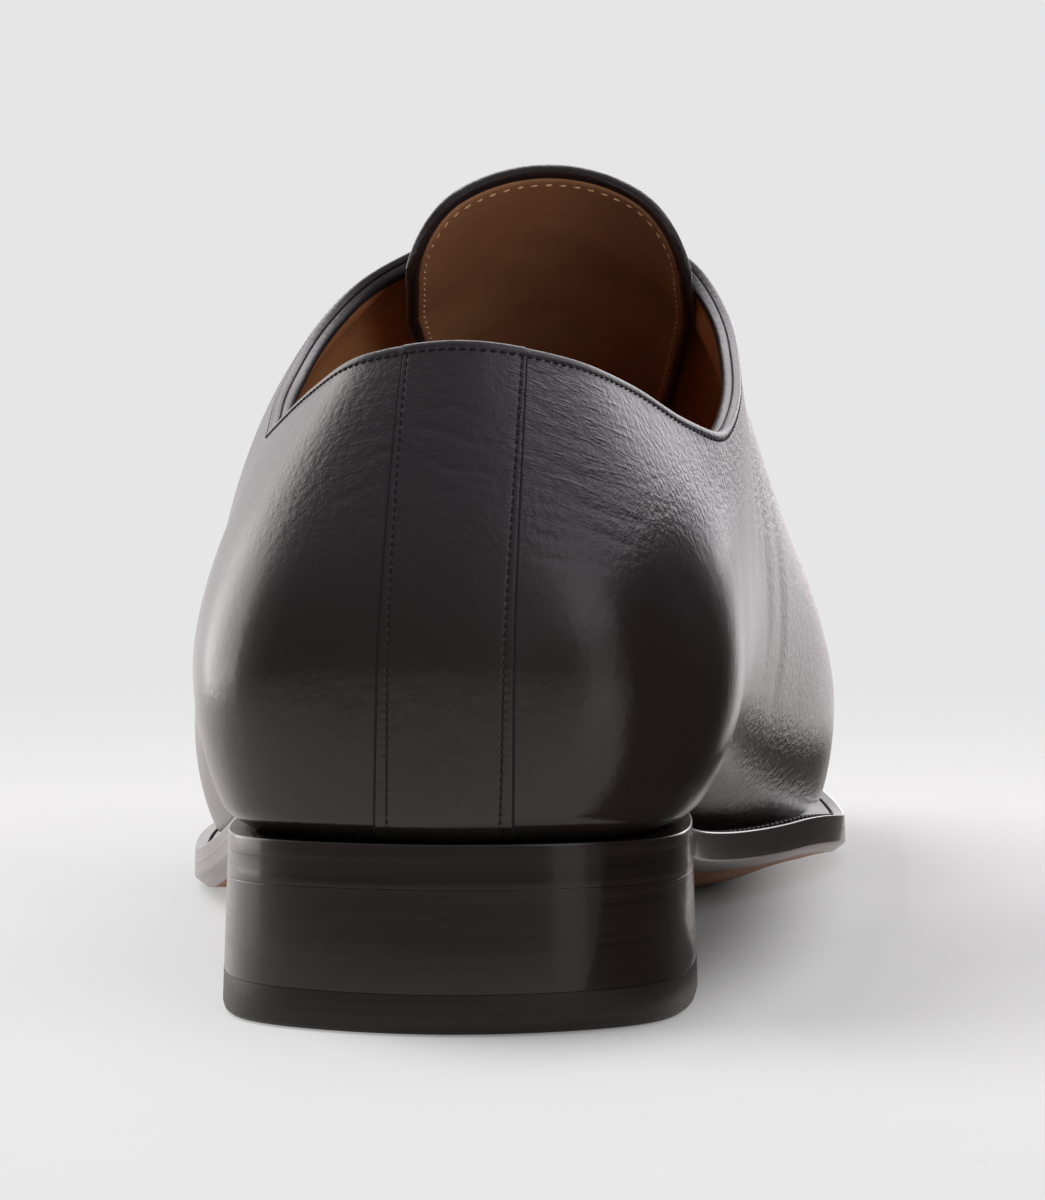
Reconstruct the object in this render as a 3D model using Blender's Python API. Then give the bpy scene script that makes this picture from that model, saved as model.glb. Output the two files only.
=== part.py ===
"""Black leather oxford shoe for the left foot, standing empty on its sole.

Frame: metres, +Z up, toe towards +Y, +X is the inner (big-toe) side.
The origin is on the floor, under the middle of the shoe's box.
Sizes below are in millimetres, with y counted from the back of the sole.
"""
from collections import namedtuple

import bmesh
import bpy
import numpy as np

MM = 0.001
GAP = 0.3
WALL = 2.0
MERGE_DISTANCE = 0.02
SHARP_ANGLE = np.radians(40)

# Sole layers, from the upper down to the floor
WELT_THICKNESS = 2.2
WELT_WIDTH = 12.0
OUTSOLE_THICKNESS = 3.3
OUTSOLE_BEVEL = 2.4
OUTSOLE_EDGE = 0.5
BEVEL_FADE = 15.0
INSOLE_THICKNESS = 2.2
INSOLE_INSET = 2.9
TOP_PIECE_THICKNESS = 5.0
HEEL_FLARE = 0.6
SEAM_FLARE = 0.45
HEEL_SIDE_POINTS = 14
BREAST_POINTS = 7

# Profile of the sole's top along the foot
SEAT_HEIGHT = 24.4
SEAT_SLOPE = -0.036
HEEL_BREAST = 72.0
BREAST_HOLLOW = 2.5
BALL_REAR = 182.0
BALL_FRONT = 214.0
TOE_SPRING = 11.0
SOLE_LENGTH = 301.0

# Curvature of the upper's sections
LOWER_SHOULDER = 0.35
ROUNDING = 0.6
LOWER_LEVELS = 4
UPPER_LEVELS = 7
STEPS_PER_ROW = 3
TANGENT_STEP = 0.01
SAMPLES_PER_ROW = 40

# Tongue: a leaf under the facings that stands above them
TONGUE_THICKNESS = 1.6
TONGUE_FOOT_Y = 182.0
TONGUE_TOP_Y = 104.0
TONGUE_CLEARANCE = (0.4, 3.2)
TONGUE_RADIUS = (16.0, 21.0)
TONGUE_DOME = (7.5, 21.5)
TONGUE_SWEEP = np.radians(68)
TONGUE_ROWS = 18
TONGUE_COLUMNS = 12

# Lace: straight bars over the facings
LACE_DIAMETER = 2.2
LACE_BARS = 5
LACE_SPAN_Y = (125.0, 168.0)
LACE_POINTS_A_SIDE = 4
LACE_BEVEL_STEPS = 2
EYELET_INSET = 9.0
FACING_SAMPLES = 35
FACING_LEVELS = 60

# One row for each section. The sole outline is at x, y. The upper starts margin inside it, swells
# by swell to its widest at belly_z and ends at the top point: rim, facing edge or vamp ridge.
# shoulder is 1 where the section arrives level at the top, and less where it arrives steeply.
Section = namedtuple("Section", "x y margin swell belly_z top_x top_y top_z shoulder")

HEEL_BACK = Section(0, 0, 1.2, 1.0, 46, 1.5, 10.5, 88.3, 0.35)

OUTER_SIDE = (
    Section(-21.0, 7.8, 1.2, 2.6, 45, -11.0, 16, 86.4, 0.38),
    Section(-29.2, 22, 1.2, 4.5, 44, -18.3, 29, 81.8, 0.40),
    Section(-31.0, 42, 1.2, 6.0, 44, -24.2, 45, 76.6, 0.42),
    Section(-31.5, 62, 1.5, 6.0, 43, -26.8, 60, 74.4, 0.45),
    Section(-32.6, 80, 2.2, 6.3, 41.5, -27.2, 78, 77.8, 0.50),
    Section(-34.4, 97, 2.9, 6.5, 39.3, -25.2, 98, 84.0, 0.58),
    Section(-36.8, 113, 3.5, 6.4, 36.5, -17.5, 114.5, 93.6, 0.70),
    Section(-40.0, 130, 4.1, 5.9, 33, 4.8, 120, 103.5, 0.82),
    Section(-43.6, 148, 4.6, 5.4, 29.3, 5.8, 137, 93.6, 0.84),
    Section(-46.4, 166, 4.9, 5.0, 25.8, 6.8, 155, 83.4, 0.86),
    Section(-48.1, 184, 5.0, 4.6, 23, 7.5, 173, 74.6, 0.89),
    Section(-48.4, 206, 5.0, 4.1, 20.8, 6.8, 196, 64.0, 0.92),
    Section(-46.0, 230, 5.0, 3.7, 20.2, 6.2, 218, 55.2, 0.91),
    Section(-40.1, 252, 5.2, 3.4, 21, 6.1, 240, 48.2, 0.88),
    Section(-30.0, 274, 5.4, 3.0, 24, 6.5, 258, 43.8, 0.82),
    Section(-13.0, 292, 5.5, 2.8, 26, 7.0, 274, 40.4, 0.75),
)

TOE_TIP = Section(8, SOLE_LENGTH, 5.5, 2.6, 27, 7.0, 274, 40.4, 0.64)

INNER_SIDE = (
    Section(21.0, 7.8, 1.2, 2.8, 45, 14.5, 17, 86.0, 0.36),
    Section(29.0, 22, 1.2, 5.0, 44, 22.8, 31, 81.8, 0.38),
    Section(30.6, 42, 1.2, 7.4, 44, 29.3, 45, 76.8, 0.40),
    Section(30.2, 62, 1.5, 8.8, 44, 34.2, 60, 74.2, 0.44),
    Section(29.2, 80, 2.2, 10.8, 44.5, 36.2, 79, 79.4, 0.52),
    Section(28.5, 97, 2.9, 12.8, 45.5, 35.2, 98, 85.8, 0.62),
    Section(28.5, 113, 3.3, 13.9, 46, 29.0, 115, 96.0, 0.74),
    Section(30.0, 130, 3.6, 13.9, 46, 12.2, 120, 103.5, 0.86),
    Section(33.8, 148, 4.0, 12.5, 44, 11.2, 137, 93.6, 0.88),
    Section(39.1, 166, 4.4, 9.8, 39.5, 10.2, 155, 83.4, 0.89),
    Section(44.7, 184, 4.8, 6.8, 34, 7.5, 173, 74.6, 0.90),
    Section(49.6, 206, 5.0, 3.9, 27, 6.8, 196, 64.0, 0.92),
    Section(50.5, 230, 5.0, 3.0, 22.5, 6.2, 218, 55.2, 0.91),
    Section(46.9, 252, 5.0, 2.8, 21.5, 6.1, 240, 48.2, 0.88),
    Section(39.6, 273, 5.2, 2.8, 24.5, 6.5, 258, 43.8, 0.82),
    Section(27.5, 290, 5.4, 2.8, 26, 7.0, 274, 40.4, 0.75),
)

ROWS = (HEEL_BACK,) + OUTER_SIDE + (TOE_TIP,) + INNER_SIDE[::-1]
ROW_COUNT = len(ROWS)
LACE_FIRST_ROW = 7.6
FACING_TOP = 8
THROAT_END = 11
TOE_ROW = ROW_COUNT // 2

# Finishes: colour, roughness
BLACK_CALF = ((0.012, 0.011, 0.013), 0.28)
TAN_LINING = ((0.16, 0.065, 0.025), 0.6)
SOLE_LEATHER = ((0.22, 0.095, 0.04), 0.55)
EDGE_DRESSING = ((0.010, 0.009, 0.009), 0.25)
TOP_RUBBER = ((0.014, 0.013, 0.013), 0.5)
LACE_BLACK = ((0.010, 0.010, 0.011), 0.6)


def row_columns(*names):
    """The named columns of the section rows, as one array."""
    return np.array([[getattr(row, name) for name in names] for row in ROWS], dtype=float)


def around(values, u, slopes):
    """Cubic curve through the closed ring of rows at row numbers u, with the given row slopes."""
    low = np.floor(u).astype(int)
    t = (u - low)[:, None]
    first = low % ROW_COUNT
    second = (low + 1) % ROW_COUNT
    return ((1 + 2 * t) * (1 - t) ** 2 * values[first] + t * (1 - t) ** 2 * slopes[first]
            + t ** 2 * (3 - 2 * t) * values[second] + t ** 2 * (t - 1) * slopes[second])


def flowing(values, u):
    """Curve through the rows that flows round them, for outlines."""
    slopes = 0.5 * (np.roll(values, -1, 0) - np.roll(values, 1, 0))
    return around(values, u, slopes)


def firm(values, u):
    """Curve through the rows that never overshoots them, for the rim, the facings and the ridge."""
    ahead = np.roll(values, -1, 0) - values
    behind = np.roll(ahead, 1, 0)
    together = ahead + behind
    same_way = ahead * behind > 0
    slopes = np.where(same_way, 2 * ahead * behind / np.where(same_way, together, 1.0), 0.0)
    return around(values, u, slopes)


def seat_line(y):
    """Height of the sole's top: straight heel seat, arch, flat ball and toe spring."""
    ball = WELT_THICKNESS + GAP + OUTSOLE_THICKNESS
    seat = SEAT_HEIGHT + SEAT_SLOPE * np.minimum(y, HEEL_BREAST)
    span = BALL_REAR - HEEL_BREAST
    t = np.clip((y - HEEL_BREAST) / span, 0, 1)
    arch_top = SEAT_HEIGHT + SEAT_SLOPE * HEEL_BREAST
    arch = ((1 + 2 * t) * (1 - t) ** 2 * arch_top + t * (1 - t) ** 2 * SEAT_SLOPE * span
            + t ** 2 * (3 - 2 * t) * ball)
    toe = ball + TOE_SPRING * np.clip((y - BALL_FRONT) / (SOLE_LENGTH - BALL_FRONT), 0, 1) ** 2
    return np.where(y < HEEL_BREAST, seat, np.where(y < BALL_REAR, arch, toe))


def outline(u, inset):
    """Sole outline at row numbers u, moved inwards along its normal by inset."""
    corners = row_columns("x", "y")
    along = flowing(corners, u + TANGENT_STEP) - flowing(corners, u - TANGENT_STEP)
    along /= np.linalg.norm(along, axis=1)[:, None]
    inwards = np.stack([along[:, 1], -along[:, 0]], axis=1)
    return flowing(corners, u) + inwards * np.reshape(inset, (-1, 1))


def at_height(plan, height):
    """Plan points lifted to the given heights."""
    return np.column_stack([plan, np.broadcast_to(height, len(plan))])


def upper_rails(u):
    """Feather edge, widest line and top line of the upper at row numbers u, with the shoulders."""
    margin, swell, belly_z = flowing(row_columns("margin", "swell", "belly_z"), u).T
    feather_plan = outline(u, margin)
    feather = at_height(feather_plan, seat_line(feather_plan[:, 1]) + GAP)
    belly = at_height(outline(u, margin - swell), belly_z)
    tops = row_columns("top_x", "top_y", "top_z")
    top = firm(tops, u)
    on_ridge = (u > THROAT_END) & (u < ROW_COUNT - THROAT_END)
    other_side = firm(tops, (ROW_COUNT - u) % ROW_COUNT)
    top[on_ridge] = 0.5 * (top + other_side)[on_ridge]
    shoulder = firm(row_columns("shoulder"), u)
    return feather, belly, top, shoulder


def rounded(start, corner, end, levels):
    """Curve from start to end that turns at corner, as one point array for each level."""
    first = start + ROUNDING * (corner - start)
    second = end + ROUNDING * (corner - end)
    return [(1 - t) ** 3 * start + 3 * t * (1 - t) ** 2 * first + 3 * t * t * (1 - t) * second
            + t ** 3 * end for t in levels]


def upper_sections(u, lower_levels=LOWER_LEVELS, upper_levels=UPPER_LEVELS):
    """Outer surface of the upper: levels from the feather edge to the top, by row numbers u."""
    feather, belly, top, shoulder = upper_rails(u)
    low_corner = belly.copy()
    low_corner[:, 2] = feather[:, 2] + LOWER_SHOULDER * (belly[:, 2] - feather[:, 2])
    high_corner = belly.copy()
    high_corner[:, 2] = belly[:, 2] + shoulder[:, 0] * (top[:, 2] - belly[:, 2])
    lower = rounded(feather, low_corner, belly, np.linspace(0, 1, lower_levels + 1)[:-1])
    higher = rounded(belly, high_corner, top, np.linspace(0, 1, upper_levels + 1))
    return np.array(lower + higher)


def frame_shift():
    """Move that puts the origin on the floor under the middle of the shoe's box."""
    dense = outline(np.linspace(0, ROW_COUNT, SAMPLES_PER_ROW * ROW_COUNT), 0.0)
    low = dense.min(axis=0) - np.array([0.0, HEEL_FLARE])
    middle = 0.5 * (low + dense.max(axis=0))
    return np.array([-middle[0], -middle[1], 0.0])


SHIFT = frame_shift()


def finish(name, colour, roughness):
    """Plain material with the piece's colour."""
    material = bpy.data.materials.new(name + "_finish")
    material.use_nodes = True
    shader = material.node_tree.nodes["Principled BSDF"]
    shader.inputs["Base Color"].default_value = (*colour, 1.0)
    shader.inputs["Roughness"].default_value = roughness
    shader.inputs["Metallic"].default_value = 0.0
    return material


def place(name, data, look):
    """Put a mesh or curve into the scene as a named piece with its own finish."""
    piece = bpy.data.objects.new(name, data)
    data.materials.append(finish(name, *look))
    bpy.context.scene.collection.objects.link(piece)
    return piece


def mesh_piece(name, points, faces, look):
    """Piece from points in millimetres, with doubled points merged."""
    mesh = bpy.data.meshes.new(name)
    mesh.from_pydata(((points + SHIFT) * MM).tolist(), [], faces)
    work = bmesh.new()
    work.from_mesh(mesh)
    bmesh.ops.remove_doubles(work, verts=work.verts, dist=MERGE_DISTANCE * MM)
    work.to_mesh(mesh)
    work.free()
    mesh.shade_smooth()
    mesh.set_sharp_from_angle(angle=SHARP_ANGLE)
    return place(name, mesh, look)


def ring_faces(rows, columns, close_rows, close_columns):
    """Quads of a grid of points, closed on itself along the ways that say so."""
    last_row = rows if close_rows else rows - 1
    last_column = columns if close_columns else columns - 1
    faces = []
    for row in range(last_row):
        for column in range(last_column):
            right = (column + 1) % columns
            above = (row + 1) % rows
            faces.append((row * columns + column, above * columns + column,
                          above * columns + right, row * columns + right))
    return faces


def thicken(piece, thickness):
    """Give a surface its wall, on its inner side."""
    wall = piece.modifiers.new("wall", "SOLIDIFY")
    wall.thickness = thickness * MM
    wall.offset = -1.0
    wall.use_even_offset = True
    wall.use_quality_normals = True


def build_upper():
    """Hollow upper: one wall from the feather edge to the rim, open at collar, throat and foot."""
    u = np.arange(ROW_COUNT * STEPS_PER_ROW) / STEPS_PER_ROW
    grid = upper_sections(u)
    faces = ring_faces(grid.shape[0], grid.shape[1], False, True)
    thicken(mesh_piece("upper", grid.reshape(-1, 3), faces, BLACK_CALF), WALL)


def sole_sides():
    """Row numbers down the outer side and down the inner side, from heel back to toe tip."""
    outer = np.arange(TOE_ROW * STEPS_PER_ROW + 1) / STEPS_PER_ROW
    return outer, ROW_COUNT - outer


def layer(name, levels, look):
    """Full-length layer: each level is an inset and a height over the seat line, bottom first."""
    outer, inner = sole_sides()
    strips = []
    for inset, height in levels:
        plan = outline(outer, inset(outer))
        strips.append(at_height(plan, seat_line(plan[:, 1]) + height))
    for inset, height in reversed(levels):
        plan = outline(inner, inset(inner))
        strips.append(at_height(plan, seat_line(plan[:, 1]) + height))
    points = np.array(strips)
    points[:, 0] = points[:, 0] * [0, 1, 1] + [ROWS[0].x, 0, 0]
    points[:, -1] = points[:, -1] * [0, 1, 1] + [TOE_TIP.x, 0, 0]
    faces = ring_faces(points.shape[0], points.shape[1], True, False)
    mesh_piece(name, points.reshape(-1, 3), faces, look)


def forefoot_bevel(u):
    """Bevel under the sole's edge, which fades out where the heel starts."""
    y = outline(u, 0.0)[:, 1]
    return OUTSOLE_BEVEL * np.clip((y - HEEL_BREAST) / BEVEL_FADE, 0, 1)


def build_outsole():
    """Leather outsole from heel back to toe tip, with a bevelled lower edge."""
    top = -(WELT_THICKNESS + GAP)
    flush = np.zeros_like
    layer("outsole", (
        (forefoot_bevel, top - OUTSOLE_THICKNESS),
        (flush, top - OUTSOLE_EDGE * OUTSOLE_THICKNESS),
        (flush, top)), SOLE_LEATHER)


def build_insole():
    """Insole board inside the upper, on the welt."""
    def inset(u):
        return flowing(row_columns("margin"), u)[:, 0] + INSOLE_INSET
    layer("insole", ((inset, GAP), (inset, GAP + INSOLE_THICKNESS)), TAN_LINING)


def build_welt():
    """Welt: a flat ring between the sole and the upper, flush with the sole's edge."""
    u = np.arange(ROW_COUNT * STEPS_PER_ROW) / STEPS_PER_ROW
    corners = ((0.0, -WELT_THICKNESS), (0.0, 0.0), (WELT_WIDTH, 0.0), (WELT_WIDTH, -WELT_THICKNESS))
    strips = []
    for inset, height in corners:
        plan = outline(u, inset)
        strips.append(at_height(plan, seat_line(plan[:, 1]) + height))
    points = np.array(strips)
    faces = ring_faces(points.shape[0], points.shape[1], True, True)
    mesh_piece("welt", points.reshape(-1, 3), faces, EDGE_DRESSING)


def heel_loop(grow):
    """Plan of the heel, grown outwards: round back, straight sides and a hollowed breast."""
    dense = np.linspace(0, FACING_TOP, SAMPLES_PER_ROW * FACING_TOP)
    reach = np.interp(HEEL_BREAST, flowing(row_columns("y"), dense)[:, 0], dense)
    side = np.linspace(0, reach, HEEL_SIDE_POINTS)
    outer = outline(side, -grow)
    inner = outline(ROW_COUNT - side, -grow)
    across = np.linspace(-1, 1, BREAST_POINTS)[1:-1]
    breast = np.column_stack([
        np.interp(across, (-1, 1), (outer[-1, 0], inner[-1, 0])),
        HEEL_BREAST - BREAST_HOLLOW * (1 - across ** 2)])
    return np.concatenate([outer, breast, inner[:0:-1]])


def heel_block(name, low, high, look):
    """Heel layer between two levels, each a plan growth and a height for each plan point."""
    loops = []
    for grow, height in (low, high):
        plan = heel_loop(grow)
        loops.append(at_height(plan, height(plan[:, 1])))
    count = len(loops[0])
    faces = ring_faces(2, count, False, True)
    faces.append(tuple(range(count)))
    faces.append(tuple(range(2 * count - 1, count - 1, -1)))
    mesh_piece(name, np.concatenate(loops), faces, look)


def build_heel():
    """Stacked heel under the seat, and the wearing top piece on the floor."""
    def level(height):
        return lambda y: np.full_like(y, height)

    def under_sole(y):
        return seat_line(np.minimum(y, HEEL_BREAST)) - WELT_THICKNESS - OUTSOLE_THICKNESS - 2 * GAP

    heel_block("heel_stack", (SEAM_FLARE, level(TOP_PIECE_THICKNESS + GAP)), (0.0, under_sole),
               EDGE_DRESSING)
    heel_block("heel_top_piece", (HEEL_FLARE, level(0.0)), (SEAM_FLARE, level(TOP_PIECE_THICKNESS)),
               TOP_RUBBER)


def instep_line(y):
    """Middle of the throat at y, as a smooth curve through its rows, with its upward normal."""
    rows = np.arange(FACING_TOP, THROAT_END + 2)
    tops = row_columns("top_x", "top_y", "top_z")
    middle = 0.5 * (tops[rows] + tops[ROW_COUNT - rows])
    rise = np.polyfit(middle[:, 1], middle[:, 2], 2)
    side = np.polyfit(middle[:, 1], middle[:, 0], 1)
    slope = np.polyval(np.polyder(rise), y)
    normal = np.column_stack([np.zeros_like(y), -slope, np.ones_like(y)])
    normal /= np.linalg.norm(normal, axis=1)[:, None]
    return np.column_stack([np.polyval(side, y), y, np.polyval(rise, y)]), normal


def build_tongue():
    """Tongue: an arched leaf under the facings, from under the vamp to above the facing tops."""
    middle, normal = instep_line(np.linspace(TONGUE_FOOT_Y, TONGUE_TOP_Y, TONGUE_ROWS))
    share = np.linspace(0, 1, TONGUE_ROWS)[:, None]
    spine = middle - normal * (WALL + np.interp(share ** 2, (0, 1), TONGUE_CLEARANCE))
    radius = np.interp(share, (0, 1), TONGUE_RADIUS)
    dome = np.interp(share, (0, 1), TONGUE_DOME)
    turn = np.linspace(-TONGUE_SWEEP, TONGUE_SWEEP, TONGUE_COLUMNS + 1)[None, :]
    grid = spine[:, None, :] - normal[:, None, :] * (dome * (1 - np.cos(turn)))[:, :, None]
    grid[:, :, 0] += radius * np.sin(turn)
    faces = ring_faces(grid.shape[0], grid.shape[1], False, False)
    thicken(mesh_piece("tongue", grid.reshape(-1, 3), faces, BLACK_CALF), TONGUE_THICKNESS)


def beside_facing(distance, sections, y):
    """Point on the outer surface at a distance from the facing edge, where it crosses the given y."""
    edge_first = sections[::-1]
    steps = np.linalg.norm(np.diff(edge_first, axis=0), axis=2)
    run = np.concatenate([np.zeros((1, steps.shape[1])), np.cumsum(steps, axis=0)])
    line = np.array([[np.interp(distance, run[:, i], edge_first[:, i, axis]) for axis in range(3)]
                     for i in range(steps.shape[1])])
    return np.array([np.interp(y, line[:, 1], line[:, axis]) for axis in range(3)])


def build_lace():
    """Lace bars: one straight cord across the throat for each pair of eyelets."""
    radius = 0.5 * LACE_DIAMETER
    throat = np.linspace(LACE_FIRST_ROW, THROAT_END, FACING_SAMPLES)
    outer = upper_sections(throat, upper_levels=FACING_LEVELS)
    inner = upper_sections(ROW_COUNT - throat, upper_levels=FACING_LEVELS)
    ends_in = np.linspace(EYELET_INSET, 0, LACE_POINTS_A_SIDE)
    for number, y in enumerate(np.linspace(*LACE_SPAN_Y, LACE_BARS), start=1):
        normal = instep_line(np.array([y]))[1][0]
        route = np.array([beside_facing(d, outer, y) for d in ends_in]
                         + [beside_facing(d, inner, y) for d in ends_in[::-1]])
        route = route + normal * (radius + GAP)
        curve = bpy.data.curves.new("lace_bar", "CURVE")
        curve.dimensions = "3D"
        curve.bevel_depth = radius * MM
        curve.bevel_resolution = LACE_BEVEL_STEPS
        curve.use_fill_caps = True
        spline = curve.splines.new("POLY")
        spline.points.add(len(route) - 1)
        for point, position in zip(spline.points, (route + SHIFT) * MM):
            point.co = (*position, 1.0)
        place("lace_bar_%d" % number, curve, LACE_BLACK)


def main():
    """Clear the scene and build the shoe, from the floor up."""
    for old in list(bpy.data.objects):
        bpy.data.objects.remove(old, do_unlink=True)
    build_heel()
    build_outsole()
    build_welt()
    build_insole()
    build_upper()
    build_tongue()
    build_lace()


main()
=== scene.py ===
"""Looks of a black leather oxford shoe for the left foot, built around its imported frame.

Lengths are millimetres, with y counted from the back of the sole and +x on the inner side, until a
mesh is written: meshes are in metres, in the frame's own place.
"""

import logging
import math
from collections.abc import Sequence
from dataclasses import dataclass, field
from enum import Enum

import bmesh
import bpy
import numpy as np
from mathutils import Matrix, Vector


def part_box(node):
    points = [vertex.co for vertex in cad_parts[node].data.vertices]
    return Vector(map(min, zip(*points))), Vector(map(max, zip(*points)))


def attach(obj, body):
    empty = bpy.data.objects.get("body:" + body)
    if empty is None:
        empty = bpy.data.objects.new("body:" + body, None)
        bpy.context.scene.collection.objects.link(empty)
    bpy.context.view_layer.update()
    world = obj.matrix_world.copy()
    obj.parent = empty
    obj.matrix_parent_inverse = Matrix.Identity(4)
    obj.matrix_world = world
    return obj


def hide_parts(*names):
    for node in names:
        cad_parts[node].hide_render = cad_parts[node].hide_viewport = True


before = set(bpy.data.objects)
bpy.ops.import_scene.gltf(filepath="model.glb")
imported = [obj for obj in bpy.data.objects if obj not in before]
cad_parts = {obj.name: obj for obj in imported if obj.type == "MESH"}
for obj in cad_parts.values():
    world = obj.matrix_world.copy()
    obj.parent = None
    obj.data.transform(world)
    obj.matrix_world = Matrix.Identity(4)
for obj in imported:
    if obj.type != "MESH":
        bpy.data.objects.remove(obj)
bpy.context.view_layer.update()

Array = np.ndarray
Pair = tuple[float, float]
Triple = tuple[float, float, float]
Pairs = tuple[Pair, ...]
Floats = tuple[float, ...]
Material = bpy.types.Material
Socket = bpy.types.NodeSocket
LOG = logging.getLogger("oxford")
MM = 0.001
BODY = "root"


@dataclass(frozen=True)
class Section:
    """One section of the last, at the place x, y on the sole's outline.

    The upper starts margin inside the outline, swells by swell to its widest at belly_z and ends at
    the top point: rim, facing edge or vamp ridge. shoulder is 1 where the section arrives level at
    the top, and less where it arrives steeply.
    """

    x: float
    y: float
    margin: float
    swell: float
    belly_z: float
    top_x: float
    top_y: float
    top_z: float
    shoulder: float


HEEL_BACK = Section(0, 0, 1.2, 1.0, 46, 1.5, 10.5, 88.3, 0.35)
TOE_TIP = Section(8, 301, 5.5, 2.6, 27, 7.0, 274, 40.4, 0.64)
OUTER_SIDE = (
    Section(-21.0, 7.8, 1.2, 2.6, 45, -11.0, 16, 86.4, 0.38),
    Section(-29.2, 22, 1.2, 4.5, 44, -18.3, 29, 81.8, 0.40),
    Section(-31.0, 42, 1.2, 6.0, 44, -24.2, 45, 76.6, 0.42),
    Section(-31.5, 62, 1.5, 6.0, 43, -26.8, 60, 74.4, 0.45),
    Section(-32.6, 80, 2.2, 6.3, 41.5, -27.2, 78, 77.8, 0.50),
    Section(-34.4, 97, 2.9, 6.5, 39.3, -25.2, 98, 84.0, 0.58),
    Section(-36.8, 113, 3.5, 6.4, 36.5, -17.5, 114.5, 93.6, 0.70),
    Section(-40.0, 130, 4.1, 5.9, 33, 4.8, 120, 103.5, 0.82),
    Section(-43.6, 148, 4.6, 5.4, 29.3, 5.8, 137, 93.6, 0.84),
    Section(-46.4, 166, 4.9, 5.0, 25.8, 6.8, 155, 83.4, 0.86),
    Section(-48.1, 184, 5.0, 4.6, 23, 7.5, 173, 74.6, 0.89),
    Section(-48.4, 206, 5.0, 4.1, 20.8, 6.8, 196, 64.0, 0.92),
    Section(-46.0, 230, 5.0, 3.7, 20.2, 6.2, 218, 55.2, 0.91),
    Section(-40.1, 252, 5.2, 3.4, 21, 6.1, 240, 48.2, 0.88),
    Section(-30.0, 274, 5.4, 3.0, 24, 6.5, 258, 43.8, 0.82),
    Section(-13.0, 292, 5.5, 2.8, 26, 7.0, 274, 40.4, 0.75),
)
INNER_SIDE = (
    Section(21.0, 7.8, 1.2, 2.8, 45, 14.5, 17, 86.0, 0.36),
    Section(29.0, 22, 1.2, 5.0, 44, 22.8, 31, 81.8, 0.38),
    Section(30.6, 42, 1.2, 7.4, 44, 29.3, 45, 76.8, 0.40),
    Section(30.2, 62, 1.5, 8.8, 44, 34.2, 60, 74.2, 0.44),
    Section(29.2, 80, 2.2, 10.8, 44.5, 36.2, 79, 79.4, 0.52),
    Section(28.5, 97, 2.9, 12.8, 45.5, 35.2, 98, 85.8, 0.62),
    Section(28.5, 113, 3.3, 13.9, 46, 29.0, 115, 96.0, 0.74),
    Section(30.0, 130, 3.6, 13.9, 46, 12.2, 120, 103.5, 0.86),
    Section(33.8, 148, 4.0, 12.5, 44, 11.2, 137, 93.6, 0.88),
    Section(39.1, 166, 4.4, 9.8, 39.5, 10.2, 155, 83.4, 0.89),
    Section(44.7, 184, 4.8, 6.8, 34, 7.5, 173, 74.6, 0.90),
    Section(49.6, 206, 5.0, 3.9, 27, 6.8, 196, 64.0, 0.92),
    Section(50.5, 230, 5.0, 3.0, 22.5, 6.2, 218, 55.2, 0.91),
    Section(46.9, 252, 5.0, 2.8, 21.5, 6.1, 240, 48.2, 0.88),
    Section(39.6, 273, 5.2, 2.8, 24.5, 6.5, 258, 43.8, 0.82),
    Section(27.5, 290, 5.4, 2.8, 26, 7.0, 274, 40.4, 0.75),
)
ROWS = (HEEL_BACK,) + OUTER_SIDE + (TOE_TIP,) + INNER_SIDE[::-1]
ROW_COUNT = len(ROWS)
TOE_ROW = ROW_COUNT // 2
FACING_TOP = 8
THROAT_END = 11
OUTLINE_SAMPLES = 40 * ROW_COUNT
TINY = 1e-9
WELD = 0.004
SHARP_ANGLE = math.radians(60.0)
FULL = (0.0, 1.0)
NOISE_RANGE = (0.3, 0.7)


def unit(vectors: Array) -> Array:
    """Vectors scaled to length one along their last axis."""
    return vectors / np.maximum(np.linalg.norm(vectors, axis=-1, keepdims=True), TINY)


def smooth_step(low: float, high: float, values: Array) -> Array:
    """Soft step from 0 at low to 1 at high, 3t^2 - 2t^3 of the share t between them."""
    t = np.clip((values - low) / (high - low), 0.0, 1.0)
    return t * t * (3 - 2 * t)


def hump(rise: Pair, fall: Pair, values: Array) -> Array:
    """Soft step up over the rise, and down again over the fall."""
    return smooth_step(*rise, values) * (1 - smooth_step(*fall, values))


def arc_length(points: Array) -> Array:
    """Distance run along a line of points, starting at 0."""
    steps = np.linalg.norm(np.diff(points, axis=0), axis=-1)
    return np.concatenate([[0.0], np.cumsum(steps)])


def resample(values: Array, run: Array, targets: Array) -> Array:
    """Each column of values, known at the distances run, read at the target distances."""
    return np.stack([np.interp(targets, run, column) for column in values.T], axis=-1)


class Flow(Enum):
    """How a closed curve runs through its rows."""

    SMOOTH = "even curvature, for outlines"
    FIRM = "no overshoot, for the rim, the facings and the ridge"


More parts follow.
